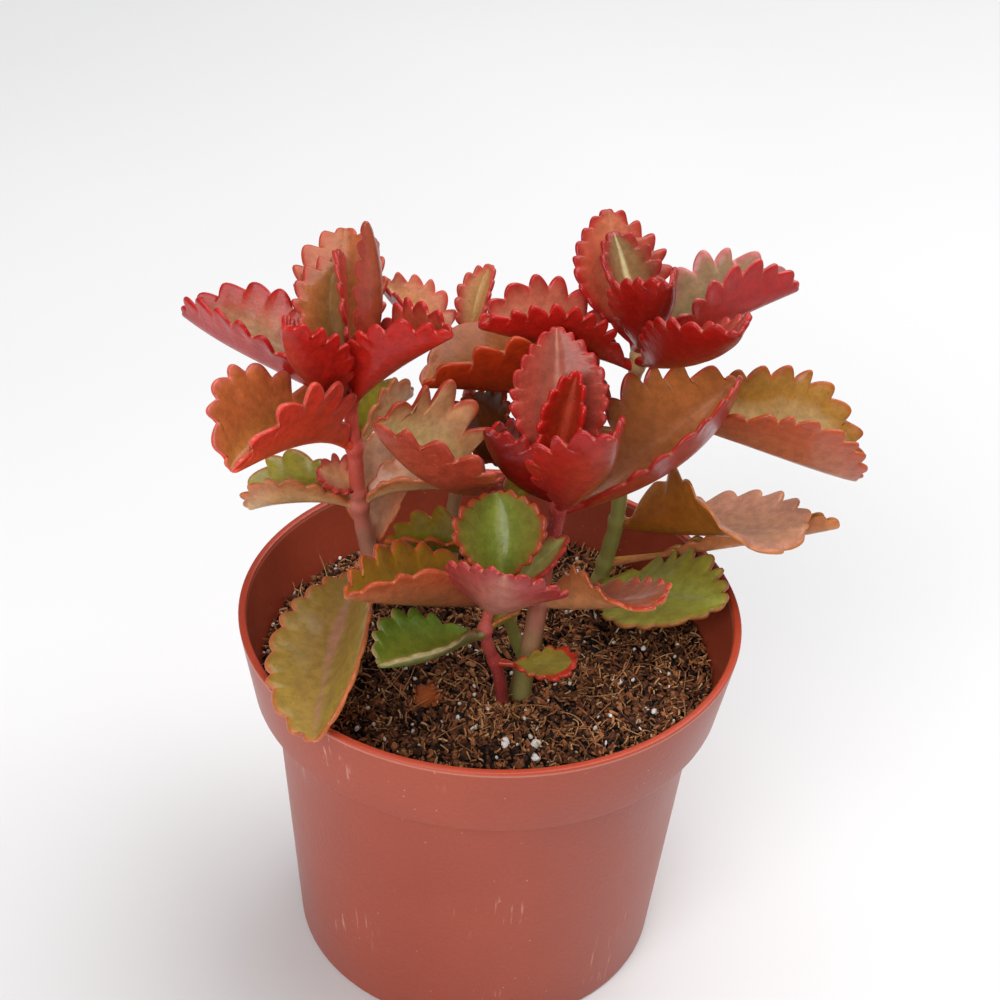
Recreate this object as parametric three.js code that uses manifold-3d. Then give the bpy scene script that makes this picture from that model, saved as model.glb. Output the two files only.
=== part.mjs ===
// A potted cathedral bells plant: trough-shaped, scallop-edged leaves on six stems in a round
// nursery pot filled with soil. Millimetres, +Z up, the origin at the centre of the pot's foot.
import * as THREE from "three";
import { mergeVertices } from "three/addons/utils/BufferGeometryUtils.js";
import Module from "manifold-3d";

const wasm = await Module();
wasm.setup();

// The pot
const RIM_RADIUS = 60;
const RIM_WALL = 1.9;
const COLLAR_HEIGHT = 20;
const COLLAR_LOWER_RADIUS = 56.5;
const POT_HEIGHT = 95;
const BODY_TOP_RADIUS = 51.8;
const FOOT_RADIUS = 45.5;
const BODY_WALL = 1.6;
const FLOOR_THICKNESS = 2.5;
const DRAIN_RADIUS = 4;
const DRAIN_CIRCLE_RADIUS = 30;
const DRAIN_COUNT = 6;

// The soil
const SOIL_EDGE_HEIGHT = 78;
const SOIL_CENTRE_HEIGHT = 81;

// Clearance between neighbouring solids
const GAP = 0.3;

// Leaf blades
const RIB_THICKNESS = 1.5;
const MID_THICKNESS = 1.2;
const MARGIN_THICKNESS = 0.9;
const RIB_STATIONS = [0, 0.12, 0.26, 0.42, 0.58, 0.74, 0.89];
const MID_LINE = 0.42;
const FOLD_END = 0.35;
const FIRST_TOOTH = 0.24;
const LAST_TOOTH_SHARE = 0.6;
const CREST_SHARE = 0.45;
const TOOTH_POINTS = [
  [0, 1],
  [0.28, 0.25],
  [0.7, 0],
];

// Each stem: its radius in the soil and at the tip, and the points that its axis passes
const STEMS = {
  left_stem: {
    footRadius: 2.7,
    tipRadius: 1.5,
    path: [[-24, 24, 62], [-27, 21, 79], [-31, 18, 98], [-33, 15, 113],
      [-34, 13, 129], [-35, 12, 141], [-35, 11, 149]],
  },
  right_stem: {
    footRadius: 2.3,
    tipRadius: 1.5,
    path: [[25, 33, 62], [27, 31, 79], [29, 29, 94], [30, 28, 102], [30, 27, 118],
      [30, 26, 138], [31, 25, 149], [31, 25, 157]],
  },
  back_stem: {
    footRadius: 2,
    tipRadius: 1.3,
    path: [[-12, 38, 62], [-11, 37, 78], [-11, 36, 97], [-8, 34, 120], [-8, 33, 133], [-9, 32, 150]],
  },
  front_stem: {
    footRadius: 3,
    tipRadius: 1.6,
    path: [[8, -14, 62], [8, -15, 81], [10, -14, 96], [11, -12, 106],
      [12, -10, 116], [14, -7, 128], [13, -6, 136]],
  },
  middle_stem: {
    footRadius: 1.7,
    tipRadius: 1.3,
    path: [[14, -4, 62], [9, -4, 81], [4, -4, 96], [2, -3, 110], [1, -2, 127], [0, -2, 131]],
  },
  small_stem: {
    footRadius: 1.7,
    tipRadius: 1.2,
    path: [[4, -21, 62], [4, -20, 81], [2, -23, 95], [0, -25, 102],
      [-1, -26, 108], [0, -26, 114], [2, -26, 119], [2, -26, 123]],
  },
};

// Blade outlines: the widest place along the leaf, how blunt its end is, and its stalk
const OUTLINES = {
  oval: { widest: 0.55, bluntness: 0.7, stalkEnd: 0.1, stalkHalfWidth: 1.9 },
  spoon: { widest: 0.62, bluntness: 0.6, stalkEnd: 0.1, stalkHalfWidth: 1.9 },
  round: { widest: 0.5, bluntness: 0.5, stalkEnd: 0.08, stalkHalfWidth: 1.9 },
  small_spoon: { widest: 0.65, bluntness: 0.55, stalkEnd: 0.25, stalkHalfWidth: 1.3 },
  tiny: { widest: 0.55, bluntness: 0.7, stalkEnd: 0.1, stalkHalfWidth: 1 },
};

// Each leaf: its stem and the height of its node, its length and half width, and how many teeth its left
// and right margins have and how deep they are, in millimetres. Then where it heads and how it swings
// round, its rise and how it bends, the fold of each half and how that opens towards the tip, and its
// roll and twist, all in degrees
const PLAIN_LEAF = { outline: "oval", swing: 0, bend: 0, opening: 0, roll: 0, twist: 0 };
const LEAVES = {
  left_leaf_1: {
    stem: "left_stem", height: 142, length: 46, halfWidth: 15.5, teeth: [6, 6], depth: [2.6, 2.2],
    heading: 165, swing: -15, rise: 20, bend: -10, fold: 50, opening: 20, twist: 5,
  },
  left_leaf_2: {
    stem: "left_stem", height: 142, length: 42, halfWidth: 13, teeth: [6, 6], depth: [2.6, 2.6],
    heading: -35, swing: -5, rise: 50, bend: -10, fold: 65, opening: 10, roll: -5, twist: 20,
  },
  left_leaf_3: {
    stem: "left_stem", height: 144, length: 45, halfWidth: 11, teeth: [6, 6], depth: [2.2, 2.4],
    heading: 105, swing: -15, rise: 45, bend: -25, fold: 45, opening: -30, roll: -5,
  },
  left_leaf_4: {
    stem: "left_stem", height: 146, length: 34, halfWidth: 11, teeth: [6, 6], depth: [2.2, 2],
    heading: 115, swing: -30, rise: 55, bend: -35, fold: 70, opening: -10, roll: -30, twist: -15,
  },
  left_leaf_5: {
    stem: "left_stem", height: 148, length: 44, halfWidth: 4.5, teeth: [5, 5], depth: [1.2, 1.4],
    heading: -35, swing: -5, rise: 55, bend: 60, fold: 60, opening: -20, roll: -5, twist: -10,
  },
  left_leaf_6: {
    stem: "left_stem", height: 144, length: 40, halfWidth: 11.5, teeth: [6, 5], depth: [2.6, 2],
    heading: -125, swing: 15, rise: 25, bend: 50, fold: 60, roll: -5,
  },
  left_leaf_7: {
    stem: "left_stem", outline: "spoon", height: 129, length: 43, halfWidth: 20.5, teeth: [5, 7],
    depth: [5, 2.2], heading: 225, swing: 15, rise: 40, bend: -45, fold: 70, opening: -10, roll: 10,
    twist: -5,
  },
  left_leaf_8: {
    stem: "left_stem", height: 129, length: 21, halfWidth: 9, teeth: [4, 4], depth: [1.5, 1.5],
    heading: 50, rise: 40, bend: -40, fold: 65, opening: 10, roll: -10, twist: -10,
  },
  left_leaf_9: {
    stem: "left_stem", height: 111, length: 29, halfWidth: 11.5, teeth: [5, 4], depth: [1.8, 1.6],
    heading: 175, swing: -5, rise: 15, bend: -50, fold: 60, opening: 10,
  },
  left_leaf_10: {
    stem: "left_stem", height: 112, length: 24, halfWidth: 8, teeth: [4, 4], depth: [1, 1], heading: 5,
    rise: 40, bend: -55, fold: 60, opening: -10,
  },
  left_leaf_11: {
    stem: "left_stem", outline: "spoon", height: 91, length: 76, halfWidth: 14, teeth: [7, 9],
    depth: [0.8, 2.2], heading: -100, swing: 10, rise: 20, bend: -30, fold: 60, opening: -35, roll: 15,
    twist: 10,
  },
  left_leaf_12: {
    stem: "left_stem", height: 94, length: 31, halfWidth: 10, teeth: [4, 4], depth: [0.8, 0.8],
    heading: 85, swing: 10, rise: 55, bend: -10, fold: 55, opening: -20,
  },
  left_leaf_13: {
    stem: "left_stem", outline: "tiny", height: 115, length: 12, halfWidth: 6, teeth: [4, 4],
    depth: [2.2, 2.2], heading: 185, rise: 35, fold: 50, opening: -35, roll: -10, twist: -15,
  },
  right_leaf_1: {
    stem: "right_stem", height: 151, length: 35, halfWidth: 12, teeth: [8, 7], depth: [0.8, 2.2],
    heading: 120, swing: -5, rise: 55, fold: 35, opening: -45, twist: 5,
  },
  right_leaf_2: {
    stem: "right_stem", height: 153, length: 28, halfWidth: 8.5, teeth: [5, 5], depth: [1.2, 1.8],
    heading: 125, rise: 70, bend: -20, fold: 65, opening: -55, roll: 15, twist: -15,
  },
  right_leaf_3: {
    stem: "right_stem", height: 153, length: 36, halfWidth: 13, teeth: [5, 7], depth: [1, 1.8],
    heading: -80, rise: 40, bend: 25, fold: 55, opening: 10, roll: 10, twist: 5,
  },
  right_leaf_4: {
    stem: "right_stem", height: 148, length: 43, halfWidth: 14.5, teeth: [8, 6], depth: [2.4, 2.8],
    heading: 195, swing: 10, rise: 25, bend: -5, fold: 70, roll: 5, twist: -10,
  },
  right_leaf_5: {
    stem: "right_stem", height: 148, length: 43, halfWidth: 16.5, teeth: [6, 7], depth: [2.8, 2.4],
    heading: 20, rise: 30, bend: -15, fold: 60, opening: 10, roll: -5, twist: -15,
  },
  right_leaf_6: {
    stem: "right_stem", height: 150, length: 52, halfWidth: 13.5, teeth: [7, 7], depth: [2.2, 2.2],
    heading: -65, rise: 20, bend: 30, fold: 60, opening: -15, roll: -5,
  },
  right_leaf_7: {
    stem: "right_stem", height: 135, length: 55, halfWidth: 20, teeth: [6, 5], depth: [3.6, 0.8],
    heading: 200, swing: 5, rise: 25, bend: -15, fold: 70, opening: -20, roll: 20, twist: -5,
  },
  right_leaf_8: {
    stem: "right_stem", outline: "spoon", height: 138, length: 60, halfWidth: 20.5, teeth: [9, 9],
    depth: [2.8, 2.4], heading: 0, rise: -15, bend: -5, fold: 55, opening: 15, roll: 5, twist: -5,
  },
  right_leaf_9: {
    stem: "right_stem", outline: "round", height: 102, length: 49, halfWidth: 19, teeth: [6, 5],
    depth: [2.6, 2.2], heading: -20, swing: -5, rise: 5, bend: 20, fold: 80, opening: -80, roll: -75,
    twist: 85,
  },
  right_leaf_10: {
    stem: "right_stem", outline: "oval", height: 82, length: 46, halfWidth: 14, teeth: [6, 6],
    depth: [2.6, 1.5], heading: -65, swing: 35, rise: 25, bend: -5, fold: 15, opening: -10, roll: 15,
  },
  right_leaf_11: {
    stem: "right_stem", outline: "small_spoon", height: 88, length: 60, halfWidth: 6, teeth: [8, 8],
    depth: [1.4, 1.4], heading: -10, swing: 5, rise: 20, fold: 75, opening: 20, twist: -10,
  },
  front_leaf_1: {
    stem: "front_stem", height: 106, length: 54, halfWidth: 14, teeth: [6, 7], depth: [2, 2.4],
    heading: 200, swing: 25, rise: 10, bend: 20, fold: 60, roll: 15, twist: -10,
  },
  front_leaf_2: {
    stem: "front_stem", outline: "round", height: 106, length: 33, halfWidth: 10.5, teeth: [6, 5],
    depth: [1.8, 2.2], heading: -25, swing: 5, rise: 10, bend: 25, fold: 85, opening: -90, roll: -75,
    twist: 80,
  },
  front_leaf_3: {
    stem: "front_stem", height: 131, length: 39, halfWidth: 11.5, teeth: [9, 9], depth: [1.8, 1.8],
    heading: 100, rise: 70, bend: -10, fold: 40, opening: -20, roll: -5, twist: 5,
  },
  front_leaf_4: {
    stem: "front_stem", height: 128, length: 56, halfWidth: 20.5, teeth: [6, 8], depth: [3, 1.6],
    heading: 15, swing: 45, rise: 10, bend: 20, fold: 50, opening: 10, twist: -15,
  },
  front_leaf_5: {
    stem: "front_stem", height: 131, length: 27, halfWidth: 13, teeth: [5, 5], depth: [2.2, 2.4],
    heading: 190, swing: -5, rise: 15, bend: 65, fold: 40, opening: 30, roll: 10, twist: 5,
  },
  front_leaf_6: {
    stem: "front_stem", height: 129, length: 40, halfWidth: 15, teeth: [5, 5], depth: [2.8, 2.8],
    heading: -65, rise: 35, bend: 40, fold: 50, roll: 10, twist: -5,
  },
  front_leaf_7: {
    stem: "front_stem", height: 134, length: 28, halfWidth: 8, teeth: [6, 4], depth: [1.8, 2.4],
    heading: 60, rise: 85, bend: -15, fold: 75, opening: -20, roll: 15, twist: -5,
  },
  middle_leaf_1: {
    stem: "middle_stem", height: 129, length: 45, halfWidth: 19.5, teeth: [5, 5], depth: [4.2, 4.4],
    heading: 215, rise: 20, bend: 40, fold: 75, opening: -15, roll: -25,
  },
  middle_leaf_2: {
    stem: "middle_stem", height: 119, length: 17, halfWidth: 5, teeth: [3, 3], depth: [0.5, 0.5],
    heading: 55, rise: 45, bend: -25, fold: 60, opening: -10,
  },
  middle_leaf_3: {
    stem: "middle_stem", height: 110, length: 29, halfWidth: 8, teeth: [4, 4], depth: [2, 2.4],
    heading: 170, rise: 20, bend: -45, fold: 60, opening: -10,
  },
  back_leaf_1: {
    stem: "back_stem", height: 144, length: 28, halfWidth: 9.5, teeth: [5, 5], depth: [2, 2.2],
    heading: 170, swing: -10, rise: 25, bend: 20, fold: 55, opening: -10,
  },
  back_leaf_2: {
    stem: "back_stem", height: 146, length: 21, halfWidth: 6, teeth: [5, 5], depth: [1, 1],
    heading: 70, swing: -10, rise: 70, bend: -20, fold: 60, opening: -10,
  },
  back_leaf_3: {
    stem: "back_stem", height: 133, length: 30, halfWidth: 9, teeth: [5, 5], depth: [2, 2],
    heading: -75, swing: 5, rise: 15, bend: -35, fold: 55, opening: -15, roll: 15, twist: 20,
  },
  small_leaf_1: {
    stem: "small_stem", height: 119, length: 22, halfWidth: 12, teeth: [7, 7], depth: [1.4, 1.4],
    heading: 100, rise: 70, bend: -30, fold: 55, opening: -25, roll: -5, twist: -5,
  },
  small_leaf_2: {
    stem: "small_stem", height: 114, length: 31, halfWidth: 14, teeth: [7, 7], depth: [1.8, 1.6],
    heading: -80, swing: -5, rise: 25, bend: 50, fold: 30, opening: -5, roll: -5, twist: -15,
  },
  small_leaf_3: {
    stem: "small_stem", height: 107, length: 31, halfWidth: 12, teeth: [6, 6], depth: [0.5, 1.6],
    heading: -140, swing: 5, rise: 0, bend: 20, fold: 50, opening: -15, roll: 20, twist: -15,
  },
  small_leaf_4: {
    stem: "small_stem", height: 115, length: 23, halfWidth: 4.5, teeth: [4, 4], depth: [1, 1],
    heading: 35, swing: 5, rise: 25, bend: 5, fold: 40, opening: -15,
  },
  small_leaf_5: {
    stem: "small_stem", outline: "small_spoon", height: 97, length: 20, halfWidth: 5.5, teeth: [5, 5],
    depth: [1.2, 1.2], heading: -20, swing: 5, rise: 5, bend: 20, fold: 30, opening: -30, roll: 5,
    twist: 5,
  },
  small_leaf_6: {
    stem: "small_stem", outline: "tiny", height: 108, length: 9, halfWidth: 3, teeth: [3, 3],
    depth: [0.4, 0.4], heading: 30, rise: 15, fold: 60, opening: -10,
  },
};

const rad = THREE.MathUtils.degToRad;

// A closed body from a list of points and triangles, with the faces turned outward.
function solidFrom(points, triangles) {
  const geometry = new THREE.BufferGeometry();
  geometry.setAttribute("position", new THREE.Float32BufferAttribute(points.flatMap((p) => p.toArray()), 3));
  geometry.setIndex(triangles.flat());
  return solidOf(geometry);
}

// A manifold solid from a three.js geometry; a body that comes out inside out is turned round.
function solidOf(geometry) {
  const bare = geometry.clone();
  bare.deleteAttribute("normal");
  bare.deleteAttribute("uv");
  const merged = mergeVertices(bare, 1e-4);
  const corners = new Uint32Array(merged.index.array);
  const make = () => new wasm.Manifold(new wasm.Mesh({
    numProp: 3,
    vertProperties: merged.attributes.position.array,
    triVerts: corners,
  }));
  const solid = make();
  if (solid.volume() > 0) return solid;
  for (let i = 0; i < corners.length; i += 3) {
    [corners[i + 1], corners[i + 2]] = [corners[i + 2], corners[i + 1]];
  }
  return make();
}

function geometryOf(solid) {
  const mesh = solid.getMesh();
  const geometry = new THREE.BufferGeometry();
  geometry.setAttribute("position", new THREE.BufferAttribute(mesh.vertProperties, 3));
  geometry.setIndex(new THREE.BufferAttribute(mesh.triVerts, 1));
  geometry.computeVertexNormals();
  return geometry;
}

// The largest of the bodies that a cut leaves.
function largest(solid) {
  return solid.decompose().sort((a, b) => b.volume() - a.volume())[0];
}

// A round stem along a smooth curve, swelling a little at its foot and closed by a bud at its tip.
function stemSolid({ footRadius, tipRadius, path }, extra) {
  const curve = new THREE.CatmullRomCurve3(path.map((p) => new THREE.Vector3(...p)), false, "centripetal");
  const steps = Math.max(8, Math.round(curve.getLength() / 7));
  const frames = curve.computeFrenetFrames(steps, false);
  const points = [];
  const triangles = [];
  const sides = 8;
  for (let i = 0; i <= steps; i++) {
    const along = i / steps;
    const radius = footRadius + (tipRadius - footRadius) * along + extra;
    const centre = curve.getPointAt(along);
    if (i === 0) centre.addScaledVector(frames.tangents[0], -extra);
    for (let k = 0; k < sides; k++) {
      const angle = (2 * Math.PI * k) / sides;
      points.push(centre.clone()
        .addScaledVector(frames.normals[i], radius * Math.cos(angle))
        .addScaledVector(frames.binormals[i], radius * Math.sin(angle)));
    }
  }
  const foot = points.push(curve.getPointAt(0).addScaledVector(frames.tangents[0], -extra)) - 1;
  const end = curve.getPointAt(1).addScaledVector(frames.tangents[steps], 2 * tipRadius + extra);
  const bud = points.push(end) - 1;
  for (let k = 0; k < sides; k++) {
    const next = (k + 1) % sides;
    triangles.push([foot, next, k]);
    for (let i = 0; i < steps; i++) {
      const a = i * sides;
      triangles.push([a + k, a + next, a + sides + next], [a + k, a + sides + next, a + sides + k]);
    }
    triangles.push([steps * sides + k, steps * sides + next, bud]);
  }
  return solidFrom(points, triangles);
}

// The point of a stem's axis at a height.
function stemPoint(stem, height) {
  const curve = new THREE.CatmullRomCurve3(STEMS[stem].path.map((p) => new THREE.Vector3(...p)), false,
    "centripetal");
  const points = curve.getSpacedPoints(200);
  return points.reduce((best, p) => (Math.abs(p.z - height) < Math.abs(best.z - height) ? p : best));
}

// The leaf's centre line and its axes along it: forward, sideways and out of the upper face.
function leafAxes(leaf) {
  const steps = 64;
  const at = (q) => {
    const heading = rad(leaf.heading + leaf.swing * q);
    const rise = rad(leaf.rise + leaf.bend * q);
    const roll = rad(leaf.roll + leaf.twist * q);
    const forward = new THREE.Vector3(
      Math.cos(rise) * Math.cos(heading), Math.cos(rise) * Math.sin(heading), Math.sin(rise));
    const level = new THREE.Vector3(-Math.sin(heading), Math.cos(heading), 0);
    const upper = new THREE.Vector3().crossVectors(forward, level);
    const side = level.clone().multiplyScalar(Math.cos(roll)).addScaledVector(upper, Math.sin(roll));
    return { forward, side, upper: new THREE.Vector3().crossVectors(forward, side) };
  };
  const centres = [stemPoint(leaf.stem, leaf.height)];
  for (let i = 1; i <= steps; i++) {
    centres.push(centres[i - 1].clone().addScaledVector(at((i - 0.5) / steps).forward, leaf.length / steps));
  }
  return (q) => {
    const i = Math.min(Math.floor(q * steps), steps - 1);
    return { centre: centres[i].clone().lerp(centres[i + 1], q * steps - i), ...at(q) };
  };
}

// Half the flat width of the leaf at q, from 0 at the stem to 1 at the tip.
function halfWidth(leaf, q) {
  const { widest, bluntness, stalkEnd, stalkHalfWidth } = OUTLINES[leaf.outline];
  const along = Math.max(0, (q - stalkEnd) / (1 - stalkEnd));
  const power = Math.log(0.5) / Math.log(widest);
  const blade = Math.sin(Math.PI * along ** power);
  return stalkHalfWidth * (1 - q) ** 2 + leaf.halfWidth * Math.max(0, blade) ** bluntness;
}

// The slope of the cross-section at u, from 0 at the rib to 1 at the margin.
function slope(leaf, q, u) {
  return rad(leaf.fold + leaf.opening * q) * THREE.MathUtils.smoothstep(u, 0, FOLD_END);
}

// The point of the blade's middle surface at q along it and u across it, on side 1 or -1.
function bladePoint(leaf, axes, q, u, side) {
  const { centre, side: across, upper } = axes(q);
  const steps = 12;
  let out = 0;
  let up = 0;
  for (let i = 0; i < steps; i++) {
    const angle = slope(leaf, q, (u * (i + 0.5)) / steps);
    out += (Math.cos(angle) * u) / steps;
    up += (Math.sin(angle) * u) / steps;
  }
  const width = halfWidth(leaf, q);
  return centre.addScaledVector(across, side * out * width).addScaledVector(upper, up * width);
}

// The normal of the blade's upper face there.
function bladeNormal(leaf, axes, q, u, side) {
  const { side: across, upper } = axes(q);
  const angle = slope(leaf, q, u);
  return upper.multiplyScalar(Math.cos(angle)).addScaledVector(across, -side * Math.sin(angle));
}

// The margin's points on one side, from the stem to the tip, with its scallops.
function marginPoints(leaf, axes, side) {
  const fine = 80;
  const stations = Array.from({ length: fine + 1 }, (_, i) => FIRST_TOOTH + ((1 - FIRST_TOOTH) * i) / fine);
  const lengths = [0];
  for (let i = 1; i <= fine; i++) {
    const step = bladePoint(leaf, axes, stations[i], 1, side)
      .distanceTo(bladePoint(leaf, axes, stations[i - 1], 1, side));
    lengths.push(lengths[i - 1] + step);
  }
  const stationAt = (share) => {
    const target = share * lengths[fine];
    const i = Math.max(1, lengths.findIndex((l) => l >= target));
    const part = (target - lengths[i - 1]) / (lengths[i] - lengths[i - 1]);
    return THREE.MathUtils.lerp(stations[i - 1], stations[i], part);
  };
  const points = [0, 0.08, 0.16].map((q) => ({ q, point: bladePoint(leaf, axes, q, 1, side) }));
  const teeth = side > 0 ? leaf.teeth[0] : leaf.teeth[1];
  const pitch = 1 / (teeth + LAST_TOOTH_SHARE);
  for (let tooth = 0; tooth <= teeth; tooth++) {
    for (const [along, cut] of TOOTH_POINTS) {
      const share = (tooth + along) * pitch;
      if (share > 0.97) continue;
      const q = stationAt(share);
      points.push({ q, point: notched(leaf, axes, q, side, cut) });
    }
  }
  return points;
}

// A point of the margin moved along the flat outline's normal: out at a crest and in where it is cut.
function notched(leaf, axes, q, side, cut) {
  const step = 0.01;
  const width = halfWidth(leaf, q);
  const widening = halfWidth(leaf, Math.min(1, q + step)) - halfWidth(leaf, q - step);
  const rate = widening / (2 * step * leaf.length);
  const depth = Math.min(side > 0 ? leaf.depth[0] : leaf.depth[1], 0.5 * width);
  const { forward, side: across, upper } = axes(q);
  const angle = slope(leaf, q, 1);
  const outward = across.multiplyScalar(side * Math.cos(angle)).addScaledVector(upper, Math.sin(angle));
  const normal = outward.addScaledVector(forward, -rate).normalize();
  return bladePoint(leaf, axes, q, 1, side).addScaledVector(normal, depth * (CREST_SHARE - cut));
}

// Triangles between two lines of vertex numbers, each with its stations along the leaf.
function stitch(lower, upper) {
  const triangles = [];
  let i = 0;
  let j = 0;
  while (i < lower.length - 1 || j < upper.length - 1) {
    const nextLower = i < lower.length - 1 ? lower[i + 1].q : Infinity;
    const nextUpper = j < upper.length - 1 ? upper[j + 1].q : Infinity;
    if (nextLower <= nextUpper) {
      triangles.push([lower[i].index, lower[i + 1].index, upper[j].index]);
      i += 1;
    } else {
      triangles.push([lower[i].index, upper[j + 1].index, upper[j].index]);
      j += 1;
    }
  }
  return triangles;
}

// The leaf's solid: an upper and a lower sheet, split into triangles alike, and the wall between them.
function leafSolid(leaf) {
  const axes = leafAxes(leaf);
  const upper = [];
  const lower = [];
  const add = (q, point, normal, thickness) => {
    upper.push(point.clone().addScaledVector(normal, thickness / 2));
    lower.push(point.clone().addScaledVector(normal, -thickness / 2));
    return { q, index: upper.length - 1 };
  };
  const tip = add(1, bladePoint(leaf, axes, 1, 0, 1), bladeNormal(leaf, axes, 1, 0, 1), MARGIN_THICKNESS);
  const rib = RIB_STATIONS.map((q) => add(
    q, bladePoint(leaf, axes, q, 0, 1), bladeNormal(leaf, axes, q, 0, 1), RIB_THICKNESS));
  const sheet = [];
  const rims = [];
  for (const side of [1, -1]) {
    const mid = RIB_STATIONS.map((q) => {
      const point = bladePoint(leaf, axes, q, MID_LINE, side);
      return add(q, point, bladeNormal(leaf, axes, q, MID_LINE, side), MID_THICKNESS);
    });
    const margin = marginPoints(leaf, axes, side).map(({ q, point }) => add(
      q, point, bladeNormal(leaf, axes, q, 1, side), MARGIN_THICKNESS));
    const triangles = [...stitch([...rib, tip], mid), ...stitch(mid, [...margin, tip])];
    sheet.push(...(side > 0 ? triangles : triangles.map(([a, b, c]) => [a, c, b])));
    const rim = [rib[0], mid[0], ...margin, tip];
    rims.push(side > 0 ? rim : rim.reverse());
  }
  const count = upper.length;
  const triangles = [...sheet, ...sheet.map(([a, b, c]) => [a + count, c + count, b + count])];
  for (const rim of rims) {
    for (let i = 0; i < rim.length - 1; i++) {
      const a = rim[i].index;
      const b = rim[i + 1].index;
      triangles.push([a, b + count, a + count], [a, b, b + count]);
    }
  }
  return solidFrom([...upper, ...lower], triangles);
}

// The pot: a thin wall with a straight collar round its rim, turned in one profile, and drain holes.
function potSolid() {
  const innerTop = RIM_RADIUS - RIM_WALL;
  const shoulder = POT_HEIGHT - COLLAR_HEIGHT;
  const profile = [
    [0, 0],
    [FOOT_RADIUS - 1, 0],
    [FOOT_RADIUS, 1],
    [BODY_TOP_RADIUS, shoulder],
    [COLLAR_LOWER_RADIUS - 0.6, shoulder],
    [COLLAR_LOWER_RADIUS, shoulder + 0.6],
    [RIM_RADIUS, POT_HEIGHT - 0.8],
    [RIM_RADIUS - 0.8, POT_HEIGHT],
    [innerTop + 0.5, POT_HEIGHT],
    [innerTop, POT_HEIGHT - 0.6],
    [COLLAR_LOWER_RADIUS - RIM_WALL, shoulder + 3],
    [BODY_TOP_RADIUS - BODY_WALL, shoulder - 1],
    [FOOT_RADIUS - BODY_WALL, FLOOR_THICKNESS],
    [0, FLOOR_THICKNESS],
  ];
  let pot = solidOf(new THREE.LatheGeometry(profile.map(([x, y]) => new THREE.Vector2(x, y)), 48)
    .rotateX(Math.PI / 2));
  for (let i = 0; i < DRAIN_COUNT; i++) {
    const angle = (2 * Math.PI * i) / DRAIN_COUNT;
    const hole = new THREE.CylinderGeometry(DRAIN_RADIUS, DRAIN_RADIUS, 4 * FLOOR_THICKNESS, 20)
      .rotateX(Math.PI / 2)
      .translate(DRAIN_CIRCLE_RADIUS * Math.cos(angle), DRAIN_CIRCLE_RADIUS * Math.sin(angle), 0);
    pot = pot.subtract(solidOf(hole));
  }
  return pot;
}

// The soil: it fills the pot up to a low mound, and each stem stands in a plain hole in it.
function soilSolid() {
  const shoulder = POT_HEIGHT - COLLAR_HEIGHT;
  const edgeRadius = COLLAR_LOWER_RADIUS - RIM_WALL - GAP;
  const mound = [0.85, 0.6, 0.35].map((share) => {
    const radius = share * edgeRadius;
    const height = SOIL_EDGE_HEIGHT + (SOIL_CENTRE_HEIGHT - SOIL_EDGE_HEIGHT) * (1 - share ** 2);
    return [radius, height];
  });
  const profile = [
    [0, FLOOR_THICKNESS + GAP],
    [FOOT_RADIUS - BODY_WALL - GAP, FLOOR_THICKNESS + GAP],
    [BODY_TOP_RADIUS - BODY_WALL - GAP, shoulder - 1 + GAP / 2],
    [edgeRadius, SOIL_EDGE_HEIGHT + GAP / 2],
    ...mound,
    [0, SOIL_CENTRE_HEIGHT],
  ];
  let soil = solidOf(new THREE.LatheGeometry(profile.map(([x, y]) => new THREE.Vector2(x, y)), 48)
    .rotateX(Math.PI / 2));
  for (const stem of Object.values(STEMS)) soil = soil.subtract(stemSolid(stem, GAP));
  return soil;
}

const plant = new THREE.Group();
const material = (color, roughness) => new THREE.MeshStandardMaterial({ color, roughness, metalness: 0 });

function place(name, solid, look) {
  const mesh = new THREE.Mesh(geometryOf(solid), look);
  mesh.name = name;
  plant.add(mesh);
}

place("pot", potSolid(), material(0xa4553a, 0.45));
place("soil", soilSolid(), material(0x3a241a, 0.95));
for (const [name, stem] of Object.entries(STEMS)) place(name, stemSolid(stem, 0), material(0xa05046, 0.5));
for (const [name, shape] of Object.entries(LEAVES)) {
  const leaf = { ...PLAIN_LEAF, ...shape };
  const sleeve = stemSolid(STEMS[leaf.stem], GAP);
  place(name, largest(leafSolid(leaf).subtract(sleeve)), material(0xb04a3c, 0.45));
}

export default plant;
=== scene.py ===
# %% [markdown]
# # A potted plant with scalloped, trough-shaped leaves
# A young succulent stands in a round nursery pot: six fleshy stems, forty-three thick leaves folded along
# their ribs, and coarse potting soil. The solids of the part already hold the sizes and places. This
# lesson puts finer skins over them: leaves with rounded, waxy margins, stems with swollen joints, a pot
# turned from its profile, and soil made of crumbs, fibres and white grains.
# It then sets up the soft light and the camera that the picture was taken with.

# %% Load the part and note its size
import math
import random

import bmesh
import bpy
import numpy as np
from mathutils import Matrix, Vector


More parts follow.
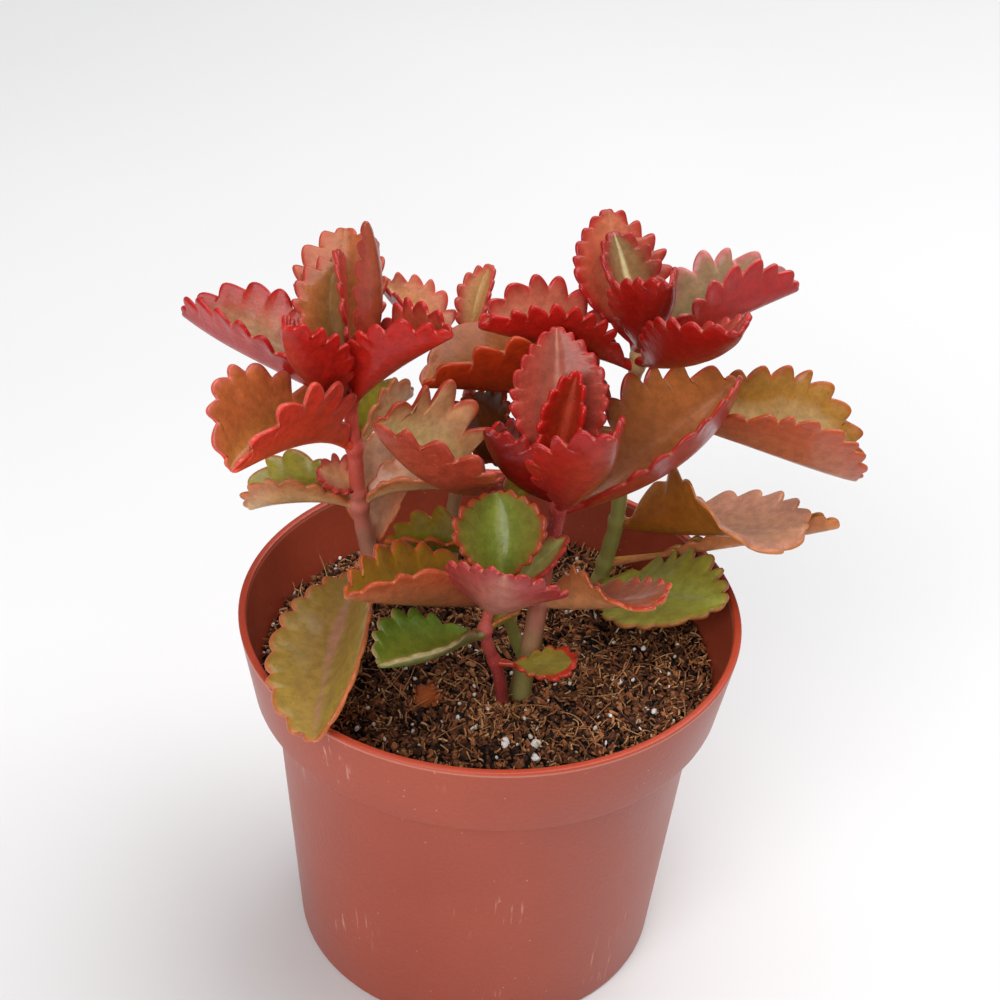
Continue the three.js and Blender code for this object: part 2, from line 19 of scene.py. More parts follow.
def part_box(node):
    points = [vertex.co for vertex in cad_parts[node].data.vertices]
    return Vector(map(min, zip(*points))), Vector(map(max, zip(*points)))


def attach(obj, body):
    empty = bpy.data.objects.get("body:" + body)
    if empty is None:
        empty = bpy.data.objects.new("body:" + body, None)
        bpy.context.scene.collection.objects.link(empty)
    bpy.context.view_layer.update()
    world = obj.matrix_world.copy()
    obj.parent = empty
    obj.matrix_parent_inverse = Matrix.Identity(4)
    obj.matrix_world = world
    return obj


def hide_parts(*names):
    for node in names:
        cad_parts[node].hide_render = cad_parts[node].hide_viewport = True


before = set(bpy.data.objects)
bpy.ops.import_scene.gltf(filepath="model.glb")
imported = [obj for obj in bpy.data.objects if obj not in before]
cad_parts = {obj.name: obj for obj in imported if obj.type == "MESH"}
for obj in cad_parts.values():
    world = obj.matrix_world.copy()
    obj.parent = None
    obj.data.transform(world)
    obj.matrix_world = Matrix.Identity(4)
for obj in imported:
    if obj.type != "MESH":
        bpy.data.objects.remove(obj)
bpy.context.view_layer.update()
MM = 0.001

# %% [markdown]
# ## Helpers for meshes and finishes
# Every piece is a plain mesh whose object sits at the origin, so that patterns on object coordinates
# stay where they are. A small helper turns lists of points and faces into such an object, checks which
# way its faces look and makes it smooth. Colours are written the way a paint chart gives them, from 0
# to 255, and turned into the linear numbers that the shader works with.


# %% Mesh helpers
def smoothstep(value, low, high):
    """0 below low, 1 above high, and a soft step from one to the other."""
    share = np.clip((value - low) / (high - low), 0, 1)
    return share * share * (3 - 2 * share)


def add_object(name, data):
    """An object at the origin for a mesh, a lamp or a camera."""
    holder = bpy.data.objects.new(name, data)
    bpy.context.scene.collection.objects.link(holder)
    return holder


def mesh_from(name, points, faces):
    """A mesh from points in millimetres."""
    mesh = bpy.data.meshes.new(name)
    mesh.from_pydata((np.asarray(points, dtype=float) * MM).tolist(), [], faces)
    return mesh


def write_numbers(mesh, title, values):
    """One number on each point, for a finish or a geometry tree to read."""
    layer = mesh.attributes.new(title, "FLOAT", "POINT")
    layer.data.foreach_set("value", np.asarray(values, dtype=np.float32))


def piece_from(name, points, faces, finish, numbers=None):
    """A smooth closed piece from points in millimetres, with its faces turned outwards."""
    mesh = mesh_from(name, points, faces)
    for title, values in (numbers or {}).items():
        write_numbers(mesh, title, values)
    shell = bmesh.new()
    shell.from_mesh(mesh)
    if shell.calc_volume(signed=True) < 0:
        bmesh.ops.reverse_faces(shell, faces=shell.faces)
    shell.to_mesh(mesh)
    shell.free()
    mesh.shade_smooth()
    mesh.materials.append(finish)
    return add_object(name, mesh)


def seat(piece, slot, *nodes):
    """The piece rides on the one body and stands for its solids, which are hidden. The slot is not used.
    """
    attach(piece, "root")
    if nodes:
        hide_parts(*nodes)


# %% Node helpers
def paint(red, green, blue):
    """A colour of a paint chart, 0 to 255, as linear light."""
    linear = []
    for level in (red, green, blue):
        share = level / 255
        linear.append(share / 12.92 if share <= 0.04045 else ((share + 0.055) / 1.055) ** 2.4)
    return (*linear, 1)


def set_inputs(tree, node, inputs):
    """Link each input that comes from another node, and set each one that is a plain value."""
    for key, value in inputs.items():
        if isinstance(value, bpy.types.NodeSocket):
            tree.links.new(value, node.inputs[key])
        else:
            node.inputs[key].default_value = value


def add_node(tree, kind, inputs=None, **settings):
    """A node with its settings and its inputs, which are called by name or by number."""
    node = tree.nodes.new(kind)
    for key, value in settings.items():
        setattr(node, key, value)
    set_inputs(tree, node, inputs or {})
    return node


def new_finish(name):
    """A material with one Principled shader, and its tree."""
    finish = bpy.data.materials.new(name)
    finish.use_nodes = True
    tree = finish.node_tree
    tree.nodes.clear()
    shader = add_node(tree, "ShaderNodeBsdfPrincipled")
    add_node(tree, "ShaderNodeOutputMaterial", {"Surface": shader.outputs["BSDF"]})
    return finish, tree, shader


def arithmetic(tree, operation, first, second):
    node = add_node(tree, "ShaderNodeMath", {0: first, 1: second}, operation=operation)
    return node.outputs["Value"]


def blend(tree, factor, first, second, mode="MIX"):
    """A colour mixed from two. Sockets 6 and 7 of the node are its colours, and output 2 is the result."""
    inputs = {0: factor, 6: first, 7: second}
    node = add_node(tree, "ShaderNodeMix", inputs, data_type="RGBA", blend_type=mode)
    return node.outputs[2]


def ramp(tree, factor, stops):
    """A colour ramp from (place, colour) pairs."""
    node = add_node(tree, "ShaderNodeValToRGB", {"Fac": factor})
    band = node.color_ramp
    while len(band.elements) < len(stops):
        band.elements.new(0.5)
    for element, (place, colour) in zip(band.elements, stops):
        element.position = place
        element.color = colour
    return node.outputs["Color"]


def between(tree, value, low, high, start=0.0, end=1.0):
    """A value moved smoothly from low..high to start..end."""
    node = add_node(tree, "ShaderNodeMapRange", {
        "Value": value, "From Min": low, "From Max": high, "To Min": start, "To Max": end,
    }, interpolation_type="SMOOTHSTEP")
    return node.outputs["Result"]


# %% Pattern helpers
def object_place(tree):
    return add_node(tree, "ShaderNodeTexCoord").outputs["Object"]


def height_of(tree, place):
    return add_node(tree, "ShaderNodeSeparateXYZ", {"Vector": place}).outputs["Z"]


def stretched(tree, place, along):
    """The same place with its height scaled, which draws a pattern out into upright streaks."""
    return add_node(tree, "ShaderNodeMapping", {"Vector": place, "Scale": (1, 1, along)}).outputs["Vector"]


def reading(tree, title):
    """A number that was written on the points of the mesh."""
    return add_node(tree, "ShaderNodeAttribute", attribute_name=title).outputs["Fac"]


def noise(tree, place, scale, detail=2.0, roughness=0.5):
    node = add_node(tree, "ShaderNodeTexNoise", {
        "Vector": place, "Scale": scale, "Detail": detail, "Roughness": roughness,
    })
    return node.outputs["Fac"]


def dots(tree, place, scale, low, high, strength):
    """Small soft dots: the strength as far as low from a dot's centre, and nothing beyond high."""
    cells = add_node(tree, "ShaderNodeTexVoronoi", {"Vector": place, "Scale": scale, "Randomness": 1.0})
    return between(tree, cells.outputs["Distance"], low, high, strength, 0)


def swayed(tree, value, pattern, amount):
    """A value pushed up and down by a pattern of 0 to 1."""
    push = arithmetic(tree, "MULTIPLY", arithmetic(tree, "SUBTRACT", pattern, 0.5), amount)
    return arithmetic(tree, "ADD", value, push)


def bump(tree, height, distance, strength):
    inputs = {"Height": height, "Distance": distance, "Strength": strength}
    return add_node(tree, "ShaderNodeBump", inputs).outputs["Normal"]


# %% [markdown]
# ## The camera
# The picture was taken from a little over half a metre away, looking about 34 degrees down, with the
# camera held a few degrees out of level. Its place was worked out from the rim of the pot, which shows as
# an ellipse, and is given here. The axes are built from three angles: heading, pitch and roll.

# %% Camera
CAMERA_PLACE = Vector((0, -382, 382.5)) * MM
CAMERA_HEADING = 0.11
CAMERA_PITCH = 33.94
CAMERA_ROLL = 3.26
LENS = 72
SENSOR = 36

heading = math.radians(CAMERA_HEADING)
pitch = math.radians(CAMERA_PITCH)
roll = math.radians(CAMERA_ROLL)
ahead = Vector((
    math.sin(heading) * math.cos(pitch), math.cos(heading) * math.cos(pitch), -math.sin(pitch),
))
level = ahead.cross(Vector((0, 0, 1))).normalized()
above = level.cross(ahead)
right = level * math.cos(roll) + above * math.sin(roll)
upward = above * math.cos(roll) - level * math.sin(roll)
lens = bpy.data.cameras.new("camera")
lens.lens = LENS
lens.sensor_width = SENSOR
lens.clip_start = 0.01
camera = add_object("camera", lens)
turn = Matrix((right, upward, -ahead)).transposed().to_4x4()
camera.matrix_world = Matrix.Translation(CAMERA_PLACE) @ turn
bpy.context.scene.camera = camera
print("camera looks along", tuple(round(v, 3) for v in ahead))

# %% [markdown]
# ## The paths of the stems
# Each stem is a fleshy shoot that leans a little. Its solid follows a smooth curve through a few points,
# and the same curve is worked out here. The leaves start from it, and the skin of the stem is drawn
# along it further down.

# %% Stem paths
STEMS = {
    "left_stem": dict(
        foot_radius=2.7, tip_radius=1.5,
        path=[(-24, 24, 62), (-27, 21, 79), (-31, 18, 98), (-33, 15, 113), (-34, 13, 129), (-35, 12, 141),
              (-35, 11, 149)],
    ),
    "right_stem": dict(
        foot_radius=2.3, tip_radius=1.5,
        path=[(25, 33, 62), (27, 31, 79), (29, 29, 94), (30, 28, 102), (30, 27, 118), (30, 26, 138),
              (31, 25, 149), (31, 25, 157)],
    ),
    "back_stem": dict(
        foot_radius=2, tip_radius=1.3,
        path=[(-12, 38, 62), (-11, 37, 78), (-11, 36, 97), (-8, 34, 120), (-8, 33, 133), (-9, 32, 150)],
    ),
    "front_stem": dict(
        foot_radius=3, tip_radius=1.6,
        path=[(8, -14, 62), (8, -15, 81), (10, -14, 96), (11, -12, 106), (12, -10, 116), (14, -7, 128),
              (13, -6, 136)],
    ),
    "middle_stem": dict(
        foot_radius=1.7, tip_radius=1.3,
        path=[(14, -4, 62), (9, -4, 81), (4, -4, 96), (2, -3, 110), (1, -2, 127), (0, -2, 131)],
    ),
    "small_stem": dict(
        foot_radius=1.7, tip_radius=1.2,
        path=[(4, -21, 62), (4, -20, 81), (2, -23, 95), (0, -25, 102), (-1, -26, 108), (0, -26, 114),
              (2, -26, 119), (2, -26, 123)],
    ),
}


# %% Smooth curve through the path
def smooth_path(path, per_span=40):
    """A centripetal Catmull-Rom curve through the points, as many short steps."""
    points = [np.array(p, dtype=float) for p in path]
    points = [2 * points[0] - points[1], *points, 2 * points[-1] - points[-2]]
    result = []
    for before, start, end, after in zip(points, points[1:], points[2:], points[3:]):
        first = np.linalg.norm(start - before) ** 0.5
        middle = np.linalg.norm(end - start) ** 0.5
        last = np.linalg.norm(after - end) ** 0.5
        leaving = (start - before) / first - (end - before) / (first + middle) + (end - start) / middle
        arriving = (end - start) / middle - (after - start) / (middle + last) + (after - end) / last
        leaving, arriving = leaving * middle, arriving * middle
        for step in range(per_span):
            t = step / per_span
            result.append(
                (2 * t**3 - 3 * t**2 + 1) * start + (t**3 - 2 * t**2 + t) * leaving
                + (-2 * t**3 + 3 * t**2) * end + (t**3 - t**2) * arriving
            )
    result.append(points[-2])
    return np.array(result)


STEM_CURVES = {name: smooth_path(stem["path"]) for name, stem in STEMS.items()}


def stem_point(stem, height):
    """The point of a stem's axis at a height."""
    curve = STEM_CURVES[stem]
    return curve[np.argmin(abs(curve[:, 2] - height))]


for name, curve in STEM_CURVES.items():
    print(name, "reaches", round(float(curve[-1, 2])), "mm")

# %% [markdown]
# ## The leaves
# A leaf of this plant is a thick, waxy blade folded up along its rib like a trough, on a short stalk, and
# its margin is cut into rounded teeth that lean towards the tip. A flat picture of a leaf on a plane
# would lose the trough and the thickness. So one rule makes them all: a centre line that bends, a
# cross-section that folds, an outline with teeth, and a skin that is closed round the margin. The rule is
# that of the solids, with rounder teeth and finer steps. The numbers are theirs too, apart from the depth
# of a few teeth and the fingers near some stalks. They were first fitted to points seen in the picture,
# and then rounded and corrected.

# %% The leaf table
PLAIN_LEAF = dict(
    outline="oval", swing=0, bend=0, opening=0, roll=0, twist=0,
    fingers=(0.3, 0.3),
)
OUTLINES = {
    "oval": dict(widest=0.55, bluntness=0.7, stalk_end=0.1, stalk_half_width=1.9),
    "spoon": dict(widest=0.62, bluntness=0.6, stalk_end=0.1, stalk_half_width=1.9),
    "round": dict(widest=0.5, bluntness=0.5, stalk_end=0.08, stalk_half_width=1.9),
    "small_spoon": dict(widest=0.65, bluntness=0.55, stalk_end=0.25, stalk_half_width=1.3),
    "tiny": dict(widest=0.55, bluntness=0.7, stalk_end=0.1, stalk_half_width=1),
}
LEAVES = {
    "left_leaf_1": dict(
        stem="left_stem", height=142, length=46, half_width=15.5, teeth=(6, 6), depth=(2.6, 2.2),
        heading=165, swing=-15, rise=20, bend=-10, fold=50, opening=20, twist=5, inner="cream",
        outer="crimson",
    ),
    "left_leaf_2": dict(
        stem="left_stem", height=142, length=42, half_width=13, teeth=(6, 6), depth=(2.6, 2.6),
        heading=-35, swing=-5, rise=50, bend=-10, fold=65, opening=10, roll=-5, twist=20,
        inner="blush", outer="ruby",
    ),
    "left_leaf_3": dict(
        stem="left_stem", height=144, length=45, half_width=11, teeth=(6, 6), depth=(2.2, 2.4),
        heading=105, swing=-15, rise=45, bend=-25, fold=45, opening=-30, roll=-5, inner="amber",
        outer="rust",
    ),
    "left_leaf_4": dict(
        stem="left_stem", height=146, length=34, half_width=11, teeth=(6, 6), depth=(2.2, 2),
        heading=115, swing=-30, rise=55, bend=-35, fold=70, opening=-10, roll=-30, twist=-15,
        inner="olive", outer="rose",
    ),
    "left_leaf_5": dict(
        stem="left_stem", height=148, length=44, half_width=4.5, teeth=(5, 5), depth=(1.2, 1.4),
        heading=-35, swing=-5, rise=55, bend=60, fold=60, opening=-20, roll=-5, twist=-10,
        inner="amber", outer="rust",
    ),
    "left_leaf_6": dict(
        stem="left_stem", height=144, length=40, half_width=11.5, teeth=(6, 5), depth=(2.6, 2),
        heading=-125, swing=15, rise=25, bend=50, fold=60, roll=-5, inner="blush", outer="ruby",
    ),
    "left_leaf_7": dict(
        stem="left_stem", outline="spoon", height=129, length=43, half_width=20.5, teeth=(5, 7),
        depth=(5, 2.2), fingers=(0.7, 3), heading=225, swing=15, rise=40, bend=-45, fold=70,
        opening=-10, roll=10, twist=-5, inner="orange", outer="ember",
    ),
    "left_leaf_8": dict(
        stem="left_stem", height=129, length=21, half_width=9, teeth=(4, 4), depth=(1.5, 1.5),
        heading=50, rise=40, bend=-40, fold=65, opening=10, roll=-10, twist=-10, inner="lemon",
        outer="tan",
    ),
    "left_leaf_9": dict(
        stem="left_stem", height=111, length=29, half_width=11.5, teeth=(5, 4), depth=(1.8, 1.6),
        heading=175, swing=-5, rise=15, bend=-50, fold=60, opening=10, inner="lemon", outer="tan",
    ),
    "left_leaf_10": dict(
        stem="left_stem", height=112, length=24, half_width=8, teeth=(4, 4), depth=(1, 1), heading=5,
        rise=40, bend=-55, fold=60, opening=-10, inner="taupe", outer="tan",
    ),
    "left_leaf_11": dict(
        stem="left_stem", outline="spoon", height=91, length=76, half_width=14, teeth=(7, 9),
        depth=(0.8, 1.7), heading=-100, swing=10, rise=20, bend=-30, fold=60, opening=-35, roll=15,
        twist=10, inner="moss", outer="tan",
    ),
    "left_leaf_12": dict(
        stem="left_stem", height=94, length=31, half_width=10, teeth=(4, 4), depth=(0.8, 0.8),
        heading=85, swing=10, rise=55, bend=-10, fold=55, opening=-20, inner="taupe", outer="tan",
    ),
    "left_leaf_13": dict(
        stem="left_stem", outline="tiny", height=115, length=12, half_width=6, teeth=(4, 4),
        depth=(2.2, 2.2), heading=185, rise=35, fold=50, opening=-35, roll=-10, twist=-15,
        inner="peach", outer="scarlet",
    ),
    "right_leaf_1": dict(
        stem="right_stem", height=151, length=35, half_width=12, teeth=(8, 7), depth=(0.8, 2.2),
        heading=120, swing=-5, rise=55, fold=35, opening=-45, twist=5, inner="blush", outer="rose",
    ),
    "right_leaf_2": dict(
        stem="right_stem", height=153, length=28, half_width=8.5, teeth=(5, 5), depth=(1.2, 1.8),
        heading=125, rise=70, bend=-20, fold=65, opening=-55, roll=15, twist=-15, inner="pale_rib",
        outer="rose",
    ),
    "right_leaf_3": dict(
        stem="right_stem", height=153, length=36, half_width=13, teeth=(5, 7), depth=(1, 1.8),
        heading=-80, rise=40, bend=25, fold=55, opening=10, roll=10, twist=5, inner="blush",
        outer="garnet",
    ),
    "right_leaf_4": dict(
        stem="right_stem", height=148, length=43, half_width=14.5, teeth=(8, 6), depth=(2.4, 2.8),
        heading=195, swing=10, rise=25, bend=-5, fold=70, roll=5, twist=-10, inner="shell",
        outer="ruby",
    ),
    "right_leaf_5": dict(
        stem="right_stem", height=148, length=43, half_width=16.5, teeth=(6, 7), depth=(2.8, 2.4),
        heading=20, rise=30, bend=-15, fold=60, opening=10, roll=-5, twist=-15, inner="sage",
        outer="crimson",
    ),
    "right_leaf_6": dict(
        stem="right_stem", height=150, length=52, half_width=13.5, teeth=(7, 7), depth=(2.2, 2.2),
        heading=-65, rise=20, bend=30, fold=60, opening=-15, roll=-5, inner="coral", outer="garnet",
    ),
    "right_leaf_7": dict(
        stem="right_stem", height=135, length=55, half_width=20, teeth=(6, 5), depth=(3.6, 0.8),
        heading=200, swing=5, rise=25, bend=-15, fold=70, opening=-20, roll=20, twist=-5,
        inner="toffee", outer="mahogany",
    ),
    "right_leaf_8": dict(
        stem="right_stem", outline="spoon", height=138, length=60, half_width=20.5, teeth=(9, 9),
        depth=(2.8, 2.4), heading=0, rise=-15, bend=-5, fold=55, opening=15, roll=5, twist=-5,
        inner="honey", outer="salmon",
    ),
    "right_leaf_9": dict(
        stem="right_stem", outline="round", height=102, length=49, half_width=19, teeth=(6, 5),
        depth=(2.6, 2.2), heading=-20, swing=-5, rise=5, bend=20, fold=80, opening=-80, roll=-75,
        twist=85, inner="dusky", outer="bark",
    ),
    "right_leaf_10": dict(
        stem="right_stem", outline="oval", height=82, length=46, half_width=14, teeth=(6, 6),
        depth=(2.6, 1.5), heading=-65, swing=35, rise=25, bend=-5, fold=15, opening=-10, roll=15,
        inner="lime", outer="leaf",
    ),
    "right_leaf_11": dict(
        stem="right_stem", outline="small_spoon", height=88, length=60, half_width=6, teeth=(8, 8),
        depth=(1.4, 1.4), heading=-10, swing=5, rise=20, fold=75, opening=20, twist=-10, inner="lemon",
        outer="apricot",
    ),
    "front_leaf_1": dict(
        stem="front_stem", height=106, length=54, half_width=14, teeth=(6, 7), depth=(1.4, 2.2),
        heading=200, swing=25, rise=10, bend=20, fold=60, roll=15, twist=-10, inner="bronze",
        outer="salmon",
    ),
    "front_leaf_2": dict(
        stem="front_stem", outline="round", height=106, length=33, half_width=10.5, teeth=(6, 5),
        depth=(1.8, 2.2), heading=-25, swing=5, rise=10, bend=25, fold=85, opening=-90, roll=-75,
        twist=80, inner="clay", outer="apricot",
    ),
    "front_leaf_3": dict(
        stem="front_stem", height=131, length=39, half_width=11.5, teeth=(9, 9), depth=(1.2, 1.2),
        heading=100, rise=70, bend=-10, fold=40, opening=-20, roll=-5, twist=5, inner="coral",
        outer="rose",
    ),
    "front_leaf_4": dict(
        stem="front_stem", height=128, length=56, half_width=20.5, teeth=(6, 8), depth=(3, 1.6),
        fingers=(1.6, 0.3), heading=15, swing=45, rise=10, bend=20, fold=50, opening=10, twist=-15,
        inner="khaki", outer="scarlet",
    ),
    "front_leaf_5": dict(
        stem="front_stem", height=131, length=27, half_width=13, teeth=(5, 5), depth=(2.2, 2.4),
        heading=190, swing=-5, rise=15, bend=65, fold=40, opening=30, roll=10, twist=5, inner="blush",
        outer="claret",
    ),
    "front_leaf_6": dict(
        stem="front_stem", height=129, length=40, half_width=15, teeth=(5, 5), depth=(2.8, 2.8),
        heading=-65, rise=35, bend=40, fold=50, roll=10, twist=-5, inner="blush", outer="scarlet",
    ),
    "front_leaf_7": dict(
        stem="front_stem", height=134, length=28, half_width=8, teeth=(6, 4), depth=(1.4, 2.8),
        heading=60, rise=85, bend=-15, fold=75, opening=-20, roll=15, twist=-5, inner="wine",
        outer="scarlet",
    ),
    "middle_leaf_1": dict(
        stem="middle_stem", height=129, length=45, half_width=19.5, teeth=(5, 5), depth=(4.2, 4.4),
        fingers=(0.3, 1.6), heading=215, rise=20, bend=40, fold=75, opening=-15, roll=-25,
        inner="fawn", outer="rust",
    ),
    "middle_leaf_2": dict(
        stem="middle_stem", height=119, length=17, half_width=5, teeth=(3, 3), depth=(0.5, 0.5),
        heading=55, rise=45, bend=-25, fold=60, opening=-10, inner="lemon", outer="leaf",
    ),
    "middle_leaf_3": dict(
        stem="middle_stem", height=110, length=29, half_width=8, teeth=(4, 4), depth=(2, 2.4),
        heading=170, rise=20, bend=-45, fold=60, opening=-10, inner="forest", outer="leaf",
    ),
    "back_leaf_1": dict(
        stem="back_stem", height=144, length=28, half_width=9.5, teeth=(5, 5), depth=(2, 2.2),
        heading=170, swing=-10, rise=25, bend=20, fold=55, opening=-10, inner="peach", outer="rose",
    ),
    "back_leaf_2": dict(
        stem="back_stem", height=146, length=21, half_width=6, teeth=(5, 5), depth=(1, 1), heading=70,
        swing=-10, rise=70, bend=-20, fold=60, opening=-10, inner="sand", outer="rose",
    ),
    "back_leaf_3": dict(
        stem="back_stem", height=133, length=30, half_width=9, teeth=(5, 5), depth=(2, 2), heading=-75,
        swing=5, rise=15, bend=-35, fold=55, opening=-15, roll=15, twist=20, inner="umber",
        outer="rust",
    ),
    "small_leaf_1": dict(
        stem="small_stem", height=119, length=22, half_width=12, teeth=(7, 7), depth=(1, 1),
        heading=100, rise=70, bend=-30, fold=55, opening=-25, roll=-5, twist=-5, inner="green",
        outer="leaf",
    ),
    "small_leaf_2": dict(
        stem="small_stem", height=114, length=31, half_width=14, teeth=(7, 7), depth=(1.8, 1.6),
        heading=-80, swing=-5, rise=25, bend=50, fold=30, opening=-5, roll=-5, twist=-15,
        inner="green", outer="pink",
    ),
    "small_leaf_3": dict(
        stem="small_stem", height=107, length=31, half_width=12, teeth=(6, 6), depth=(0.5, 1.6),
        heading=-140, swing=5, rise=0, bend=20, fold=50, opening=-15, roll=20, twist=-15,
        inner="leaf", outer="willow",
    ),
    "small_leaf_4": dict(
        stem="small_stem", height=115, length=23, half_width=4.5, teeth=(4, 4), depth=(1, 1),
        heading=35, swing=5, rise=25, bend=5, fold=40, opening=-15, inner="celery", outer="scarlet",
    ),
    "small_leaf_5": dict(
        stem="small_stem", outline="small_spoon", height=97, length=20, half_width=5.5, teeth=(5, 5),
        depth=(1.2, 1.2), heading=-20, swing=5, rise=5, bend=20, fold=30, opening=-30, roll=5, twist=5,
        inner="maple", outer="rust",
    ),
    "small_leaf_6": dict(
        stem="small_stem", outline="tiny", height=108, length=9, half_width=3, teeth=(3, 3),
        depth=(0.4, 0.4), heading=30, rise=15, fold=60, opening=-10, inner="lemon", outer="leaf",
    ),
}
print("leaves:", len(LEAVES))


# %% The leaf's centre line and its axes
FOLD_END = 0.35
AXIS_STEPS = 64
SECTION_STEPS = 12


def leaf_directions(leaf, q):
    """The forward, sideways and upper directions of a leaf at the stations q."""
    heading = np.radians(leaf["heading"] + leaf["swing"] * q)
    rise = np.radians(leaf["rise"] + leaf["bend"] * q)
    roll = np.radians(leaf["roll"] + leaf["twist"] * q)[:, None]
    level = np.cos(rise)
    forward = np.stack([level * np.cos(heading), level * np.sin(heading), np.sin(rise)], 1)
    flat = np.stack([-np.sin(heading), np.cos(heading), 0 * heading], 1)
    sideways = flat * np.cos(roll) + np.cross(forward, flat) * np.sin(roll)
    return forward, sideways, np.cross(forward, sideways)


def leaf_centre(leaf, q):
    """The centre line at the stations q, from 0 at the stem to 1 at the tip."""
    middles = (np.arange(AXIS_STEPS) + 0.5) / AXIS_STEPS
    moves = leaf_directions(leaf, middles)[0] * leaf["length"] / AXIS_STEPS
    centres = np.vstack([[0, 0, 0], np.cumsum(moves, 0)]) + stem_point(leaf["stem"], leaf["height"])
    stations = np.linspace(0, 1, AXIS_STEPS + 1)
    return np.stack([np.interp(q, stations, centres[:, axis]) for axis in range(3)], 1)


# %% The outline and the folded section
def flat_half_width(leaf, q):
    outline = OUTLINES[leaf["outline"]]
    along = np.clip((q - outline["stalk_end"]) / (1 - outline["stalk_end"]), 0, 1)
    power = math.log(0.5) / math.log(outline["widest"])
    blade = np.clip(np.sin(np.pi * along**power), 0, 1) ** outline["bluntness"]
    return outline["stalk_half_width"] * (1 - q) ** 2 + leaf["half_width"] * blade


def section_angle(leaf, q, u):
    """The slope of the folded cross-section at u, from 0 at the rib to 1 at the margin."""
    return np.radians(leaf["fold"] + leaf["opening"] * q) * smoothstep(u, 0, FOLD_END)


def blade_surface(leaf, q, u, side):
    """Points of the blade's middle surface, and its upper, outward and forward directions."""
    forward, sideways, upper = leaf_directions(leaf, q)
    out, up = 0, 0
    for step in range(SECTION_STEPS):
        angle = section_angle(leaf, q, u * (step + 0.5) / SECTION_STEPS)
        out = out + np.cos(angle) * u / SECTION_STEPS
        up = up + np.sin(angle) * u / SECTION_STEPS
    width = flat_half_width(leaf, q)
    point = leaf_centre(leaf, q) + sideways * (side * out * width)[:, None] + upper * (up * width)[:, None]
    angle = section_angle(leaf, q, u)[:, None]
    normal = upper * np.cos(angle) - sideways * side[:, None] * np.sin(angle)
    outward = sideways * side[:, None] * np.cos(angle) + upper * np.sin(angle)
    return point, normal, outward, forward


# %% [markdown]
# ### Teeth
# The teeth are rounded lobes with narrow notches between them. Their crests stand a little outside the
# smooth outline and lean towards the tip, and the notches cut into it. The two margins of a leaf have
# their own number of teeth, as in the solid, and their own depth. The teeth are placed by the length of
# the margin, instead of by the length of the leaf, and so stay even round the tip. No two lobes are
# alike, so chance moves each notch a little and makes some lobes taller. Near the stalk they may grow
# into fingers, as far as the leaf's row says.

# %% Teeth
FIRST_TOOTH = 0.24
LAST_TOOTH_SHARE = 0.6
LAST_TOOTH_RISE = 0.4
CREST_SHARE = 0.45
CREST_PLACE = 0.6
LOBE_ROUNDNESS = 0.8
NOTCH_SHIFT = 0.18
ARC_STEPS = 600


def margin_rows(leaf, side, count, chance):
    """The stations of the rows along one margin, and their phases, which are whole in the notches."""
    fine = np.linspace(0, 1, ARC_STEPS + 1)
    ones = np.ones_like(fine)
    margin = blade_surface(leaf, fine, ones, side * ones)[0]
    arc = np.concatenate([[0], np.cumsum(np.linalg.norm(np.diff(margin, axis=0), axis=1))])
    first = np.interp(FIRST_TOOTH, fine, arc)
    teeth = leaf["teeth"][margin_number(side)]
    end = teeth + LAST_TOOTH_SHARE
    even = (arc - first) / (arc[-1] - first) * end
    notches = [number + chance.uniform(-NOTCH_SHIFT, NOTCH_SHIFT) for number in range(1, teeth + 1)]
    phase = np.interp(even, [even[0], 0, *notches, end], [even[0], 0, *range(1, teeth + 1), end])
    phases = np.interp(np.linspace(0, 1, count + 1)[:-1], arc / arc[-1], phase)
    for notch in range(teeth + 1):
        phases[np.argmin(abs(phases - notch))] = notch
    return np.interp(phases, phase, fine), phases


def margin_number(side):
    """The place of a margin in a leaf's pairs of numbers: 0 on its left side, 1 on its right."""
    return 0 if side > 0 else 1


def lobe_height(phase, teeth):
    """The height of the lobes, 0 in a notch and 1 at a crest, for a phase that counts teeth."""
    power = math.log(0.5) / math.log(CREST_PLACE)
    part = np.clip(phase - np.floor(phase), 0, 1)
    lobe = np.clip(np.sin(np.pi * part**power), 0, 1) ** LOBE_ROUNDNESS
    rising = np.clip((phase - teeth) / LAST_TOOTH_RISE, 0, 1)
    last = np.clip(np.sin(rising * np.pi / 2), 0, 1) ** LOBE_ROUNDNESS
    before = (1 - CREST_SHARE) * smoothstep(-phase, 0, 0.5)
    return np.where(phase < 0, before, np.where(phase >= teeth, last, lobe))


# %% [markdown]
# ### The skin of a leaf
# Every row of points runs once round the leaf: across the upper face, round one margin, back across the
# lower face and round the other margin. The rows are joined like the rings of a tube. A row slants a
# little, because it ends at the same place of a tooth on each margin, and it bends so that it meets the
# margin squarely. Five numbers are written on each point for the finish to read: how far along it lies,
# how far across, how near the margin, whether it is on the upper face, and how near it is to a notch.

# %% The rows of a leaf
ROWS_PER_TOOTH = 11
MOST_LOBES = 20
LOBE_SIZES = (0.65, 1.25)
WAVE_PACES = (0.7, 1.6)
INNER_COLUMNS = [0, 0.07, 0.15, 0.25, 0.36, 0.48, 0.6, 0.7, 0.8, 0.9, 1]
EDGE_ANGLES = [30, 60]
EDGE_ROUNDING = 0.6


